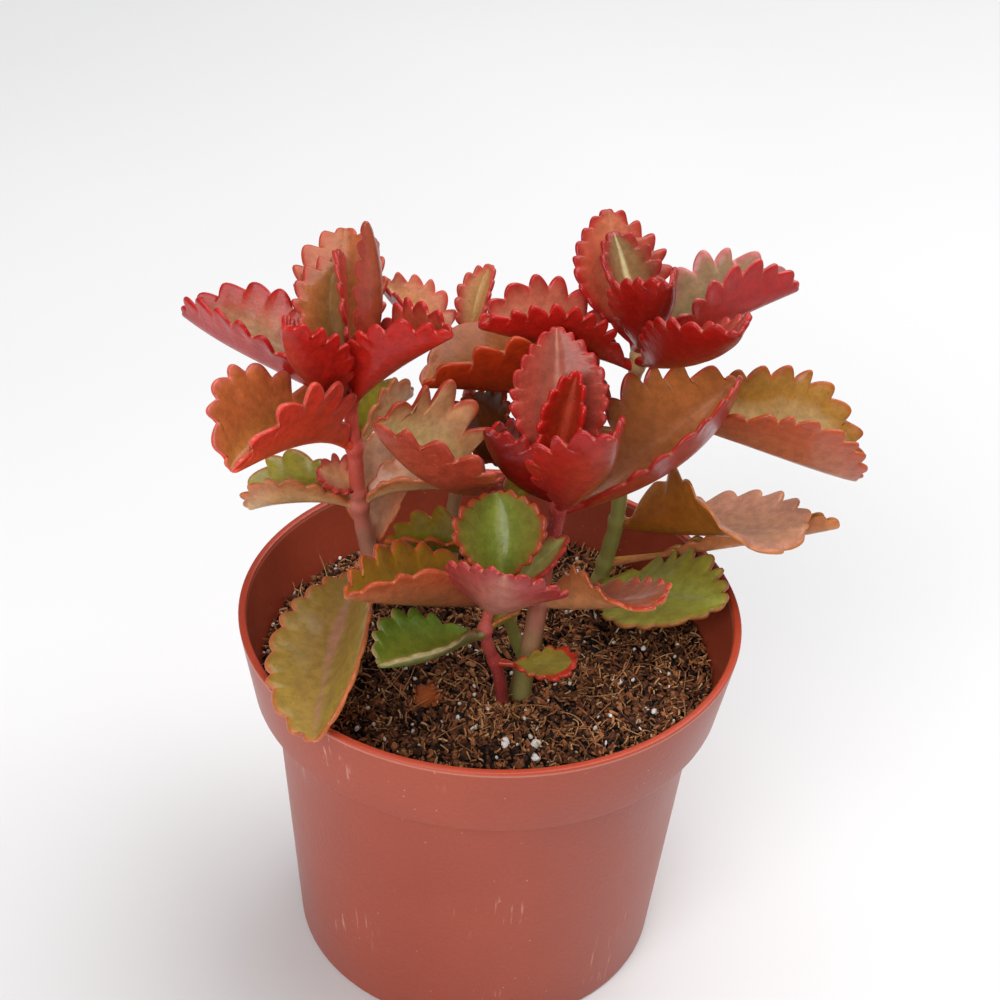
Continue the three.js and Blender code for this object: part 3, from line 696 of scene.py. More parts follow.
def leaf_plan(leaf, seed):
    """What the teeth and chance settle for a leaf: its rows, the size of each lobe, and its slow waves."""
    chance = random.Random(seed)
    count = int(ROWS_PER_TOOTH * (max(leaf["teeth"]) + LAST_TOOTH_SHARE) / (1 - FIRST_TOOTH))
    rows = {side: margin_rows(leaf, side, count, chance) for side in (1, -1)}
    sizes = {side: [chance.uniform(*LOBE_SIZES) for _ in range(MOST_LOBES)] for side in (1, -1)}
    waves = [(chance.uniform(0, 6.3), chance.uniform(*WAVE_PACES)) for _ in range(2)]
    return dict(rows=rows, rib=(rows[1][0] + rows[-1][0]) / 2, sizes=sizes, waves=waves)


def leaf_columns(width):
    """Places across one half of a row: u, and the angle round the margin's edge."""
    edge = np.minimum(EDGE_ROUNDING / width, 0.35)
    columns = [((1 - edge) * share, 0 * width) for share in INNER_COLUMNS]
    for angle in EDGE_ANGLES:
        turn = math.radians(angle)
        columns.append((1 - edge + edge * math.sin(turn), turn + 0 * width))
    return columns


def outline_slope(leaf, q):
    """How fast the half width grows along the leaf."""
    step = 0.01
    widening = flat_half_width(leaf, q + step) - flat_half_width(leaf, q - step)
    return widening / (2 * step * leaf["length"])


def margin_normal(leaf, q, outward, forward):
    """The direction in the blade that stands square on the smooth outline."""
    normal = outward - forward * outline_slope(leaf, q)[:, None]
    return normal / np.linalg.norm(normal, axis=1)[:, None]


def row_stations(leaf, rib, stations, u):
    """The stations along the rows at u. A row bends so that it meets the margin squarely."""
    slope = outline_slope(leaf, stations)
    square = -flat_half_width(leaf, stations) * slope / (1 + slope**2) / leaf["length"]
    straight = stations - rib
    return rib + straight * u + (square - straight) * u**2 * (u - 1)


# %% Lobes, pleats and thickness
LEAN = 0.22
LEAN_DEPTH = 2.5
PLEAT_SHARE = 0.1
WAVE_HEIGHT = 0.35
RIB_HALF_THICKNESS = 0.75
MARGIN_HALF_THICKNESS = 0.5
STALK_HALF_THICKNESS = 1.4
STALK_SHARE = 0.22
TIP_ROUNDING = 0.9
SMALL_LEAF = 30
NARROW_BLADE = 8


def lobes_and_depth(leaf, plan, side, width):
    """The height of the lobes along one margin, and the depth of its teeth in millimetres."""
    phase = plan["rows"][side][1]
    margin = margin_number(side)
    finger = leaf["fingers"][margin] * np.exp(-np.clip(phase, 0, 9))
    lobe = lobe_height(phase, leaf["teeth"][margin])
    lobe = np.where(phase < 0, lobe, lobe ** (1 + 0.3 * np.minimum(finger, 2)))
    size = np.interp(phase, np.arange(MOST_LOBES) + CREST_PLACE, plan["sizes"][side])
    depth = np.minimum(leaf["depth"][margin] * size * (1 + finger), 0.5 * width)
    return lobe, depth


def blade_lift(plan, side, q, u, depth, width):
    """How far the blade stands off its smooth fold: a pleat at each tooth, and two slow waves."""
    phase = plan["rows"][side][1]
    pleat = np.cos(2 * np.pi * (phase - CREST_PLACE)) * smoothstep(u, 0.6, 1) * smoothstep(phase, 0, 1)
    lift = PLEAT_SHARE * depth * pleat
    for start, pace in plan["waves"]:
        wave = np.sin(start + 2 * np.pi * pace * q + side * u)
        lift = lift + WAVE_HEIGHT * wave * smoothstep(q, 0.1, 0.5) * u
    return lift * np.clip(width / NARROW_BLADE, 0.2, 1)


def half_thickness(leaf, rib, u, lobe):
    """Fleshy at the stalk and the rib, thin in the notches, and closed at the tip."""
    short = (rib - 1) * leaf["length"] / TIP_ROUNDING + 1
    closing = np.sqrt(np.clip(1 - np.clip(short, 0, 1) ** 2, 0, 1))
    stalk = (STALK_HALF_THICKNESS - RIB_HALF_THICKNESS) * np.clip(1 - rib / STALK_SHARE, 0, 1) ** 1.5
    stalk = stalk * min(1, leaf["length"] / SMALL_LEAF)
    half = RIB_HALF_THICKNESS + (MARGIN_HALF_THICKNESS - RIB_HALF_THICKNESS) * smoothstep(u, 0, 0.9)
    half = half * (1 + 0.35 * (lobe - 0.3) * smoothstep(u, 0.7, 0.95))
    return (half + stalk * (1 - 0.4 * u)) * closing


# %% One leaf
BLUSH_REACH = 6
SHALLOW_NOTCH = 1.5
LEAF_NUMBERS = ("along", "across", "near", "upper", "notch")
END_NUMBERS = ((0, 1), (0, 0), (0, 1), (0.5, 0.5), (0, 0))


def leaf_column(leaf, plan, u, edge_turn, side, face):
    """One line of points from the stalk to the tip, and the five numbers on them."""
    stations, phase = plan["rows"][side]
    q = row_stations(leaf, plan["rib"], stations, u)
    width = flat_half_width(leaf, q)
    point, normal, outward, forward = blade_surface(leaf, q, u, side * np.ones_like(q))
    lobe, depth = lobes_and_depth(leaf, plan, side, width)
    pull = smoothstep(u, 0.5, 1)
    square = margin_normal(leaf, q, outward, forward)
    point = point + square * (depth * (lobe - 1 + CREST_SHARE) * pull)[:, None]
    lean = LEAN * np.minimum(depth, LEAN_DEPTH) * lobe**2 * pull
    point = point + forward * lean[:, None]
    half = half_thickness(leaf, plan["rib"], u, lobe) * np.cos(edge_turn)
    point = point + normal * (blade_lift(plan, side, q, u, depth, width) + face * half)[:, None]
    near = np.clip(1 - (1 - u) * width / BLUSH_REACH, 0, 1)
    upper = np.clip(0.5 + 0.5 * face * np.cos(edge_turn), 0, 1)
    notch = (1 - lobe) ** 2 * smoothstep(u, 0.8, 1) * (phase > -0.2) * np.clip(depth / SHALLOW_NOTCH, 0, 1)
    return point, q, u, near, upper, notch


def skin_faces(rows, around):
    """Faces between the rings of a tube, and a fan of triangles that closes each end."""
    faces = []
    for row in range(rows - 1):
        a, b = row * around, (row + 1) * around
        for step in range(around):
            after = (step + 1) % around
            faces.append((a + step, a + after, b + after, b + step))
    foot, tip = rows * around, rows * around + 1
    last = (rows - 1) * around
    for step in range(around):
        after = (step + 1) % around
        faces.append((foot, after, step))
        faces.append((tip, last + step, last + after))
    return faces


def leaf_skin(name, leaf, seed):
    """The closed skin of one leaf, row by row."""
    plan = leaf_plan(leaf, seed)
    rib = plan["rib"]
    columns = leaf_columns(flat_half_width(leaf, rib))
    margin = (np.ones_like(rib), np.full_like(rib, np.pi / 2))
    ring = [(*c, -1, 1) for c in reversed(columns[1:])]
    ring += [(*c, 1, 1) for c in columns]
    ring += [(*margin, 1, 1)]
    ring += [(*c, 1, -1) for c in reversed(columns[1:])]
    ring += [(*c, -1, -1) for c in columns]
    ring += [(*margin, -1, 1)]
    made = [leaf_column(leaf, plan, *place) for place in ring]
    points = np.stack([m[0] for m in made], 1)
    rows, around = points.shape[:2]
    tip = blade_surface(leaf, np.array([1.0]), np.array([0.0]), np.array([1.0]))[0]
    skin = np.vstack([points.reshape(-1, 3), points[0].mean(0)[None], tip])
    numbers = {}
    for place, (title, ends) in enumerate(zip(LEAF_NUMBERS, END_NUMBERS), start=1):
        table = np.stack([np.broadcast_to(m[place], rib.shape) for m in made], 1)
        numbers[title] = np.concatenate([table.reshape(-1), ends])
    finish = leaf_finish(leaf["inner"], leaf["outer"])
    return piece_from(name + "_blade", skin, skin_faces(rows, around), finish, numbers)


# %% [markdown]
# ### The finish of a leaf
# The plant blushes in strong light: the margins and the outer faces turn red, and the hollow of the
# trough stays olive, cream or green. So each leaf has one band of colours for the upper face, from the
# rib over the hollow to the flank, and one for the lower face, from the keel over the body to the lobes.
# On the upper face the flank passes into the blush of the lobes, which reaches as many millimetres
# inwards as the last number of its row says. On one kind of leaf it also spreads from the tip. Soft noise
# breaks the bands up. Pale specks and dark red dots lie over them, each notch carries a painted highlight,
# and a coat gives the waxy shine, except on the leaves that stand in the shade.

# %% Colours of the upper face: rib, hollow, flank, lobes, and how far the blush reaches
INNER = {
    "cream": [(208, 176, 140), (200, 156, 118), (188, 76, 50), (178, 26, 24), 5.4],
    "shell": [(216, 180, 142), (208, 162, 124), (198, 108, 84), (184, 44, 42), 3.8],
    "blush": [(202, 124, 88), (196, 106, 74), (192, 84, 60), (176, 32, 30), 3.2],
    "amber": [(178, 104, 62), (172, 96, 54), (178, 92, 52), (188, 76, 50), 2.4],
    "orange": [(192, 122, 66), (188, 116, 58), (192, 104, 56), (204, 104, 84), 2.6],
    "toffee": [(164, 110, 54), (158, 102, 46), (164, 90, 40), (172, 82, 40), 2.4],
    "olive": [(150, 106, 60), (144, 98, 50), (168, 96, 50), (184, 66, 48), 2.6],
    "khaki": [(172, 106, 60), (164, 96, 50), (178, 102, 46), (190, 62, 38), 2.0],
    "pale_rib": [(208, 190, 140), (148, 110, 68), (130, 66, 38), (166, 36, 34), 3.0],
    "fawn": [(224, 204, 154), (218, 192, 140), (200, 146, 102), (172, 66, 40), 3.4],
    "honey": [(232, 212, 170), (222, 196, 148), (186, 134, 58), (180, 92, 40), 3.2],
    "coral": [(204, 138, 120), (170, 88, 70), (180, 76, 60), (188, 50, 44), 2.4],
    "peach": [(228, 174, 126), (224, 164, 114), (222, 148, 112), (208, 76, 64), 2.6],
    "sand": [(204, 160, 100), (196, 148, 88), (212, 156, 114), (204, 84, 68), 3.0],
    "lemon": [(184, 172, 82), (170, 162, 54), (168, 156, 52), (180, 110, 54), 1.6],
    "moss": [(170, 120, 90), (156, 124, 58), (160, 130, 52), (184, 98, 48), 1.8],
    "bronze": [(162, 132, 44), (158, 128, 36), (166, 116, 30), (188, 80, 30), 1.8],
    "sage": [(150, 142, 96), (140, 132, 84), (160, 126, 92), (212, 120, 118), 3.4],
    "celery": [(202, 200, 124), (194, 190, 110), (184, 172, 94), (194, 60, 42), 1.8],
    "taupe": [(212, 166, 134), (208, 160, 126), (198, 134, 98), (196, 104, 68), 1.6],
    "dusky": [(214, 160, 128), (208, 152, 118), (206, 146, 118), (212, 134, 92), 1.4],
    "clay": [(166, 92, 56), (156, 80, 46), (158, 82, 48), (184, 50, 36), 1.8],
    "wine": [(170, 56, 32), (162, 50, 27), (164, 38, 21), (202, 34, 28), 3.0],
    "umber": [(110, 56, 22), (100, 50, 18), (86, 42, 15), (130, 40, 20), 1.6],
    "forest": [(116, 100, 28), (104, 92, 16), (108, 84, 14), (150, 64, 30), 1.2],
    "green": [(136, 142, 62), (122, 130, 44), (124, 116, 42), (180, 58, 38), 2.4],
    "leaf": [(126, 132, 52), (112, 122, 38), (98, 120, 36), (124, 88, 34), 0.9],
    "lime": [(174, 178, 96), (172, 176, 74), (168, 162, 64), (180, 122, 64), 1.2],
    "maple": [(152, 132, 64), (142, 128, 52), (142, 118, 46), (184, 54, 34), 0.6],
}

# %% Colours of the lower face: keel, body, lobes
OUTER = {
    "crimson": [(176, 60, 56), (180, 26, 22), (190, 36, 32)],
    "ruby": [(188, 58, 46), (192, 34, 25), (198, 32, 25)],
    "garnet": [(138, 30, 18), (152, 20, 13), (168, 22, 17)],
    "scarlet": [(168, 60, 42), (162, 36, 28), (172, 29, 26)],
    "ember": [(236, 96, 60), (244, 80, 50), (240, 68, 52)],
    "rust": [(162, 78, 50), (166, 66, 46), (168, 56, 38)],
    "mahogany": [(134, 50, 20), (156, 46, 16), (188, 56, 20)],
    "salmon": [(186, 112, 76), (184, 102, 66), (190, 82, 48)],
    "rose": [(184, 84, 72), (172, 44, 40), (168, 26, 28)],
    "pink": [(184, 118, 102), (166, 74, 68), (160, 46, 48)],
    "tan": [(226, 180, 128), (224, 170, 116), (208, 120, 74)],
    "claret": [(110, 22, 13), (124, 15, 10), (156, 24, 17)],
    "bark": [(158, 92, 32), (166, 96, 34), (198, 122, 44)],
    "apricot": [(206, 144, 98), (206, 132, 84), (212, 128, 74)],
    "leaf": [(136, 148, 60), (104, 130, 34), (156, 84, 42)],
    "willow": [(116, 128, 62), (106, 122, 54), (172, 160, 112)],
}

# %% The waxy finish
FINISHES = {}
TIP_BLUSH = {"maple": 0.4}
SHADED = ("forest", "umber")
NOTCH_PAINTED_HIGHLIGHT = (214, 150, 120)
PALE_SPECK = (222, 190, 160)
RED_PORE = (74, 14, 18)


def leaf_colour(tree, place, cloud, inner, outer):
    """The colours of both faces, with their mottling, specks, pores and a painted highlight in each notch.
    """
    along, across, near, upper, notch = (reading(tree, title) for title in LEAF_NUMBERS)
    reach = swayed(tree, across, cloud, 0.5)
    rib, hollow, flank, lobes = (paint(*c) for c in INNER[inner][:4])
    inside = ramp(tree, reach, [(0.03, rib), (0.14, hollow), (0.34, hollow), (0.66, flank)])
    start = 1 - INNER[inner][4] / BLUSH_REACH
    tip = between(tree, along, 0.55, 1.0, 0.0, TIP_BLUSH.get(inner, 0))
    blush = arithmetic(tree, "ADD", swayed(tree, near, cloud, 0.35), tip)
    inside = blend(tree, between(tree, blush, start, 1.02), inside, lobes)
    keel, body, rim = (paint(*c) for c in OUTER[outer])
    outside = ramp(tree, reach, [(0.04, keel), (0.45, body), (0.95, rim)])
    colour = blend(tree, upper, outside, inside)
    mottle = between(tree, noise(tree, place, 420, 4, 0.65), 0.3, 0.7, 0.72, 1.0)
    colour = blend(tree, 1.0, colour, mottle, "MULTIPLY")
    # Painted highlight: a pale spot in each notch, where the lobes bulge and catch the light.
    notch_highlight = arithmetic(tree, "MULTIPLY", between(tree, notch, 0.5, 1.0), 0.3)
    colour = blend(tree, notch_highlight, colour, paint(*NOTCH_PAINTED_HIGHLIGHT))
    patches = between(tree, noise(tree, place, 160, 1), 0.52, 0.66)
    speck = arithmetic(tree, "MULTIPLY", dots(tree, place, 900, 0.05, 0.15, 0.3), patches)
    colour = blend(tree, speck, colour, paint(*PALE_SPECK))
    return blend(tree, dots(tree, place, 420, 0.04, 0.1, 0.5), colour, paint(*RED_PORE))


def leaf_finish(inner, outer):
    """One finish for each pair of faces, made when it is first needed."""
    if (inner, outer) in FINISHES:
        return FINISHES[inner, outer]
    finish, tree, shader = new_finish(f"waxy_{inner}_{outer}")
    place = object_place(tree)
    cloud = noise(tree, place, 70, 3)
    relief = arithmetic(tree, "ADD", noise(tree, place, 900, 3), arithmetic(tree, "MULTIPLY", cloud, 2.0))
    set_inputs(tree, shader, {
        "Base Color": leaf_colour(tree, place, cloud, inner, outer),
        "Roughness": between(tree, noise(tree, place, 240, 3), 0.3, 0.7, 0.28, 0.42),
        "Normal": bump(tree, relief, 0.0004, 0.35),
        "Specular IOR Level": 0.05 if inner in SHADED else 0.18,
        "Subsurface Weight": 0.12,
        "Subsurface Radius": (1.0, 0.35, 0.2),
        "Subsurface Scale": 0.0012,
        "Coat Weight": 0 if inner in SHADED else 0.25,
        "Coat Roughness": 0.16,
    })
    FINISHES[inner, outer] = finish
    return finish


# %% Grow the leaves
leaf_faces = 0
for number, (name, shape) in enumerate(LEAVES.items()):
    piece = leaf_skin(name, {**PLAIN_LEAF, **shape}, seed=number)
    seat(piece, "leaf", name)
    leaf_faces += len(piece.data.polygons)
print("leaves:", len(LEAVES), "finishes:", len(FINISHES), "faces:", leaf_faces)

# %% [markdown]
# ## The skins of the stems
# A stem could be a bent cylinder, but a tree of geometry nodes is better here: it takes the curve, reads
# the half width that is written on each of its points, and draws a round tube along it. The half width
# falls from the foot to the tip and swells at each pair of leaves. A tree has named inputs for its sizes.
# It is run once on a carrier mesh, and what it makes is kept as a plain mesh.


# %% Geometry node helpers
def new_tree(title, sizes):
    """A geometry tree with named inputs, and its input and output nodes."""
    tree = bpy.data.node_groups.new(title, "GeometryNodeTree")
    tree.interface.new_socket("Geometry", in_out="INPUT", socket_type="NodeSocketGeometry")
    for name, kind, value in sizes:
        socket = tree.interface.new_socket(name, in_out="INPUT", socket_type=f"NodeSocket{kind}")
        socket.default_value = value
    tree.interface.new_socket("Geometry", in_out="OUTPUT", socket_type="NodeSocketGeometry")
    return tree, add_node(tree, "NodeGroupInput"), add_node(tree, "NodeGroupOutput")


def end_tree(tree, end, geometry, finish):
    """Realize the instances and set the material, which is how each tree here ends."""
    real = add_node(tree, "GeometryNodeRealizeInstances", {"Geometry": geometry})
    dressed = add_node(tree, "GeometryNodeSetMaterial", {
        "Geometry": real.outputs["Geometry"], "Material": finish,
    })
    tree.links.new(dressed.outputs["Geometry"], end.inputs["Geometry"])


def grown(name, carrier, tree, values):
    """The plain mesh that a tree makes on a carrier mesh; the carrier is not kept."""
    holder = add_object(name + "_carrier", carrier)
    modifier = holder.modifiers.new(name, "NODES")
    modifier.node_group = tree
    for item in tree.interface.items_tree:
        if item.in_out == "INPUT" and item.name in values:
            modifier[item.identifier] = values[item.name]
    graph = bpy.context.evaluated_depsgraph_get()
    mesh = bpy.data.meshes.new_from_object(
        holder.evaluated_get(graph), preserve_all_data_layers=True, depsgraph=graph)
    bpy.data.objects.remove(holder)
    mesh.name = name
    return add_object(name, mesh)


# %% The tube tree
STEM_SIDES = 20


def tube_tree(finish):
    """Draws a round tube along the carrier's line, as wide as the numbers on its points say."""
    tree, start, end = new_tree("round tube along a path", [("Sides", "Int", STEM_SIDES)])
    curve = add_node(tree, "GeometryNodeMeshToCurve", {"Mesh": start.outputs["Geometry"]})
    width = add_node(tree, "GeometryNodeInputNamedAttribute", {"Name": "width"}, data_type="FLOAT")
    circle = add_node(tree, "GeometryNodeCurvePrimitiveCircle", {
        "Resolution": start.outputs["Sides"], "Radius": 1.0,
    })
    tube = add_node(tree, "GeometryNodeCurveToMesh", {
        "Curve": curve.outputs["Curve"], "Profile Curve": circle.outputs["Curve"],
        "Scale": width.outputs["Attribute"], "Fill Caps": True,
    })
    smooth = add_node(tree, "GeometryNodeSetShadeSmooth", {"Geometry": tube.outputs["Mesh"]})
    end_tree(tree, end, smooth.outputs["Geometry"], finish)
    return tree


# %% The finish of a stem: colours at its foot, in its middle and at its tip
SOIL_EDGE_HEIGHT = 78
STEM_COLOURS = {
    "left_stem": [(168, 122, 98), (190, 112, 96), (210, 78, 64)],
    "right_stem": [(164, 162, 92), (168, 168, 96), (186, 148, 98)],
    "back_stem": [(150, 126, 88), (168, 120, 88), (150, 60, 56)],
    "front_stem": [(134, 126, 72), (182, 122, 98), (176, 58, 54)],
    "middle_stem": [(134, 134, 66), (150, 132, 72), (166, 96, 78)],
    "small_stem": [(138, 52, 50), (178, 64, 62), (184, 84, 74)],
}
STEM_SPECK = (214, 184, 158)


def stem_finish(name, low, high):
    """The colours from low to high, with fine upright streaks, pale specks and a soft shine."""
    finish, tree, shader = new_finish("shoot_" + name)
    place = object_place(tree)
    streak = noise(tree, stretched(tree, place, 0.25), 420, 4, 0.6)
    climb = between(tree, height_of(tree, place), low * MM, high * MM)
    climb = swayed(tree, climb, streak, 0.7)
    foot, middle, tip = (paint(*c) for c in STEM_COLOURS[name])
    colour = ramp(tree, climb, [(0, foot), (0.1, foot), (0.35, middle), (0.85, tip)])
    colour = blend(tree, dots(tree, place, 1300, 0.08, 0.22, 0.45), colour, paint(*STEM_SPECK))
    set_inputs(tree, shader, {
        "Base Color": colour,
        "Roughness": between(tree, streak, 0.3, 0.7, 0.36, 0.55),
        "Normal": bump(tree, streak, 0.0005, 0.4),
        "Subsurface Weight": 0.1,
        "Subsurface Radius": (1.0, 0.4, 0.2),
        "Subsurface Scale": 0.0015,
    })
    return finish


# %% Swellings of a stem: how much, how far above a leaf, and over what length
JOINT_SWELLING = (0.3, 0.3, 1.6)
JOINT_WAIST = (-0.12, 2.6, 0.9)
STEM_UNEVENNESS = 0.06
TIP_STEPS = 30


def hump(away, size, centre, reach):
    """A soft hump of some size, round a centre."""
    return size * np.exp(-((away - centre) / reach) ** 2)


def stem_mesh(name, stem):
    """The stem's axis as a line of points, with its half width written on each."""
    curve = STEM_CURVES[name]
    steps = np.linalg.norm(np.diff(curve, axis=0), axis=1)
    share = np.concatenate([[0], np.cumsum(steps)]) / steps.sum()
    width = stem["foot_radius"] + (stem["tip_radius"] - stem["foot_radius"]) * share
    for leaf in LEAVES.values():
        if leaf["stem"] == name:
            away = curve[:, 2] - leaf["height"]
            width = width + hump(away, *JOINT_SWELLING) + hump(away, *JOINT_WAIST)
    width = width + STEM_UNEVENNESS * np.sin(curve[:, 2] * 0.9 + len(name))
    width[-TIP_STEPS:] *= np.sqrt(np.linspace(1, 0.02, TIP_STEPS))
    mesh = bpy.data.meshes.new(name + "_axis")
    mesh.from_pydata((curve * MM).tolist(), [(i, i + 1) for i in range(len(curve) - 1)], [])
    write_numbers(mesh, "width", width * MM)
    return mesh


# %% Grow the stems
for name, stem in STEMS.items():
    finish = stem_finish(name, SOIL_EDGE_HEIGHT, stem["path"][-1][2])
    piece = grown(name + "_shoot", stem_mesh(name, stem), tube_tree(finish), {"Sides": STEM_SIDES})
    seat(piece, "stem", name)
    print(piece.name, len(piece.data.polygons), "faces")

# %% [markdown]
# ## The pot
# The pot is a thin-walled nursery pot of smooth plastic, with a straight collar round its rim and six
# drain holes. A turned profile is the natural way to make it: the outline of the wall is drawn once and
# carried round in many steps, with small rounds at the rim. The holes are cut with cylinders. Its rim
# and its height are read from the solid, and the other sizes are those that the solid was made with.

# %% Sizes of the pot
pot_low, pot_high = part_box("pot")
RIM_RADIUS = (pot_high[0] - pot_low[0]) / 2 / MM
POT_HEIGHT = pot_high[2] / MM
RIM_WALL = 1.9
COLLAR_HEIGHT = 20
COLLAR_LOWER_RADIUS = 56.5
BODY_TOP_RADIUS = 51.8
FOOT_RADIUS = 45.5
BODY_WALL = 1.6
FLOOR_THICKNESS = 2.5
DRAIN_RADIUS = 4
DRAIN_CIRCLE_RADIUS = 30
DRAIN_COUNT = 6
print("pot:", round(RIM_RADIUS, 2), "mm in radius,", round(POT_HEIGHT, 2), "mm high")


# %% Turn the pot
def turned(profile, sides):
    """Points and faces of a profile of (radius, height) carried round the Z axis; radius 0 is a pole."""
    points, rings = [], []
    for radius, height in profile:
        if radius == 0:
            rings.append([len(points)] * sides)
            points.append((0, 0, height))
            continue
        rings.append(list(range(len(points), len(points) + sides)))
        for step in range(sides):
            angle = 2 * math.pi * step / sides
            points.append((radius * math.cos(angle), radius * math.sin(angle), height))
    faces = []
    for lower, upper in zip(rings, rings[1:]):
        for step in range(sides):
            after = (step + 1) % sides
            corners = [lower[step], lower[after], upper[after], upper[step]]
            faces.append(tuple(dict.fromkeys(corners)))
    return points, faces


def rounded(corner, before, after, radius, steps=4):
    """A corner of a profile cut back by a small round."""
    corner, before, after = (np.array(p, dtype=float) for p in (corner, before, after))
    start = corner + (before - corner) / np.linalg.norm(before - corner) * radius
    end = corner + (after - corner) / np.linalg.norm(after - corner) * radius
    shares = np.linspace(0, 1, steps + 1)[:, None]
    return (start * (1 - shares) ** 2 + 2 * corner * shares * (1 - shares) + end * shares**2).tolist()


def rounded_profile(corners):
    """The profile with a round at each corner that gives a radius."""
    result = []
    for number, (radius, height, rounding) in enumerate(corners):
        if not rounding:
            result.append((radius, height))
            continue
        before = corners[number - 1][:2]
        after = corners[number + 1][:2]
        result += [tuple(p) for p in rounded((radius, height), before, after, rounding)]
    return result


# %% The plastic of the pot
SCUFF_PLACE = (-33, -48, 87)
CLAY = [(154, 62, 41), (166, 72, 48)]
RIM_TOP_PAINTED_LIGHT = (188, 62, 34)
LIP_PAINTED_HIGHLIGHT = (224, 150, 128)
SCUFF = (226, 176, 158)
DUST = (226, 190, 172)


def scuff_marks(tree, place):
    """Upright scratches, in a few chance patches and round the rubbed place under the rim."""
    lines = between(tree, noise(tree, stretched(tree, place, 0.06), 700, 2, 0.6), 0.6, 0.7)
    centre = [share * MM for share in SCUFF_PLACE]
    away = add_node(tree, "ShaderNodeVectorMath", {0: place, 1: centre}, operation="DISTANCE")
    rubbed = between(tree, away.outputs["Value"], 0.004, 0.015, 0.16, 0.0)
    patch = between(tree, arithmetic(tree, "ADD", noise(tree, place, 38, 1), rubbed), 0.58, 0.7)
    return arithmetic(tree, "MULTIPLY", arithmetic(tree, "MULTIPLY", lines, patch), 0.45)


def pot_finish():
    """Satin terracotta plastic: a little uneven, with painted light on the top of the rim, a painted
    highlight along its lip, pale scuffs and fine dust.
    """
    finish, tree, shader = new_finish("terracotta_plastic")
    place = object_place(tree)
    height = height_of(tree, place)
    cloud = noise(tree, place, 22, 3, 0.55)
    colour = ramp(tree, cloud, [(0.3, paint(*CLAY[0])), (0.7, paint(*CLAY[1]))])
    # Painted light: the flat top of the rim is painted brighter and redder, as if lit from above.
    rim = between(tree, height, (POT_HEIGHT - 0.9) * MM, (POT_HEIGHT - 0.2) * MM)
    colour = blend(tree, arithmetic(tree, "MULTIPLY", rim, 0.6), colour, paint(*RIM_TOP_PAINTED_LIGHT))
    # Painted highlight: a pale line round the outer lip, just below the top of the rim.
    below = between(tree, height, (POT_HEIGHT - 1.3) * MM, (POT_HEIGHT - 0.9) * MM)
    line = arithmetic(tree, "MULTIPLY", below, arithmetic(tree, "SUBTRACT", 1.0, rim))
    colour = blend(tree, arithmetic(tree, "MULTIPLY", line, 0.45), colour, paint(*LIP_PAINTED_HIGHLIGHT))
    grain = between(tree, noise(tree, place, 1500, 3, 0.6), 0.3, 0.7, 0.95, 1.05)
    colour = blend(tree, 1.0, colour, grain, "MULTIPLY")
    scuffs = scuff_marks(tree, place)
    colour = blend(tree, scuffs, colour, paint(*SCUFF))
    patches = between(tree, noise(tree, place, 60, 1), 0.5, 0.6)
    dust = arithmetic(tree, "MULTIPLY", dots(tree, place, 330, 0.035, 0.09, 0.5), patches)
    colour = blend(tree, dust, colour, paint(*DUST))
    rubbed = arithmetic(tree, "MULTIPLY", scuffs, 0.4)
    relief = arithmetic(tree, "ADD", noise(tree, place, 900, 2), arithmetic(tree, "MULTIPLY", cloud, 4.0))
    set_inputs(tree, shader, {
        "Base Color": colour,
        "Roughness": arithmetic(tree, "ADD", between(tree, cloud, 0.3, 0.7, 0.34, 0.42), rubbed),
        "Normal": bump(tree, relief, 0.0003, 0.25),
        "Specular IOR Level": 0.45,
    })
    return finish


# %% The pot and its drain holes
POT_SIDES = 144
HOLE_SIDES = 32
SHARP_ANGLE = 40


def pot_profile():
    """The wall's outline from the middle of the foot to the middle of the floor, with its rounds."""
    shoulder = POT_HEIGHT - COLLAR_HEIGHT
    return rounded_profile([
        (0, 0, 0),
        (FOOT_RADIUS, 0, 1.2),
        (BODY_TOP_RADIUS, shoulder, 0.4),
        (COLLAR_LOWER_RADIUS, shoulder, 0.7),
        (RIM_RADIUS, POT_HEIGHT, 0.7),
        (RIM_RADIUS - RIM_WALL, POT_HEIGHT, 0.5),
        (COLLAR_LOWER_RADIUS - RIM_WALL, shoulder + 3, 1),
        (BODY_TOP_RADIUS - BODY_WALL, shoulder - 1, 1),
        (FOOT_RADIUS - BODY_WALL, FLOOR_THICKNESS, 1),
        (0, FLOOR_THICKNESS, 0),
    ])


def drain_drills():
    """One object with a cylinder for each drain hole."""
    drills = bmesh.new()
    radius = DRAIN_RADIUS * MM
    for step in range(DRAIN_COUNT):
        angle = 2 * math.pi * step / DRAIN_COUNT
        across = Vector((math.cos(angle), math.sin(angle), 0)) * DRAIN_CIRCLE_RADIUS * MM
        bmesh.ops.create_cone(
            drills, cap_ends=True, segments=HOLE_SIDES, radius1=radius, radius2=radius,
            depth=4 * FLOOR_THICKNESS * MM, matrix=Matrix.Translation(across))
    mesh = bpy.data.meshes.new("drills")
    drills.to_mesh(mesh)
    drills.free()
    return add_object("drills", mesh)


def pot_piece():
    """The turned wall with its holes cut out. The cylinders are not kept."""
    points, faces = turned(pot_profile(), POT_SIDES)
    pot = piece_from("pot_shell", points, faces, pot_finish())
    drill = drain_drills()
    cut = pot.modifiers.new("drain holes", "BOOLEAN")
    cut.operation = "DIFFERENCE"
    cut.object = drill
    graph = bpy.context.evaluated_depsgraph_get()
    bored = bpy.data.meshes.new_from_object(pot.evaluated_get(graph), depsgraph=graph)
    pot.modifiers.clear()
    pot.data = bored
    bpy.data.objects.remove(drill)
    bored.set_sharp_from_angle(angle=math.radians(SHARP_ANGLE))
    return pot


pot = pot_piece()
seat(pot, "pot", "pot")
print("pot:", len(pot.data.polygons), "faces")

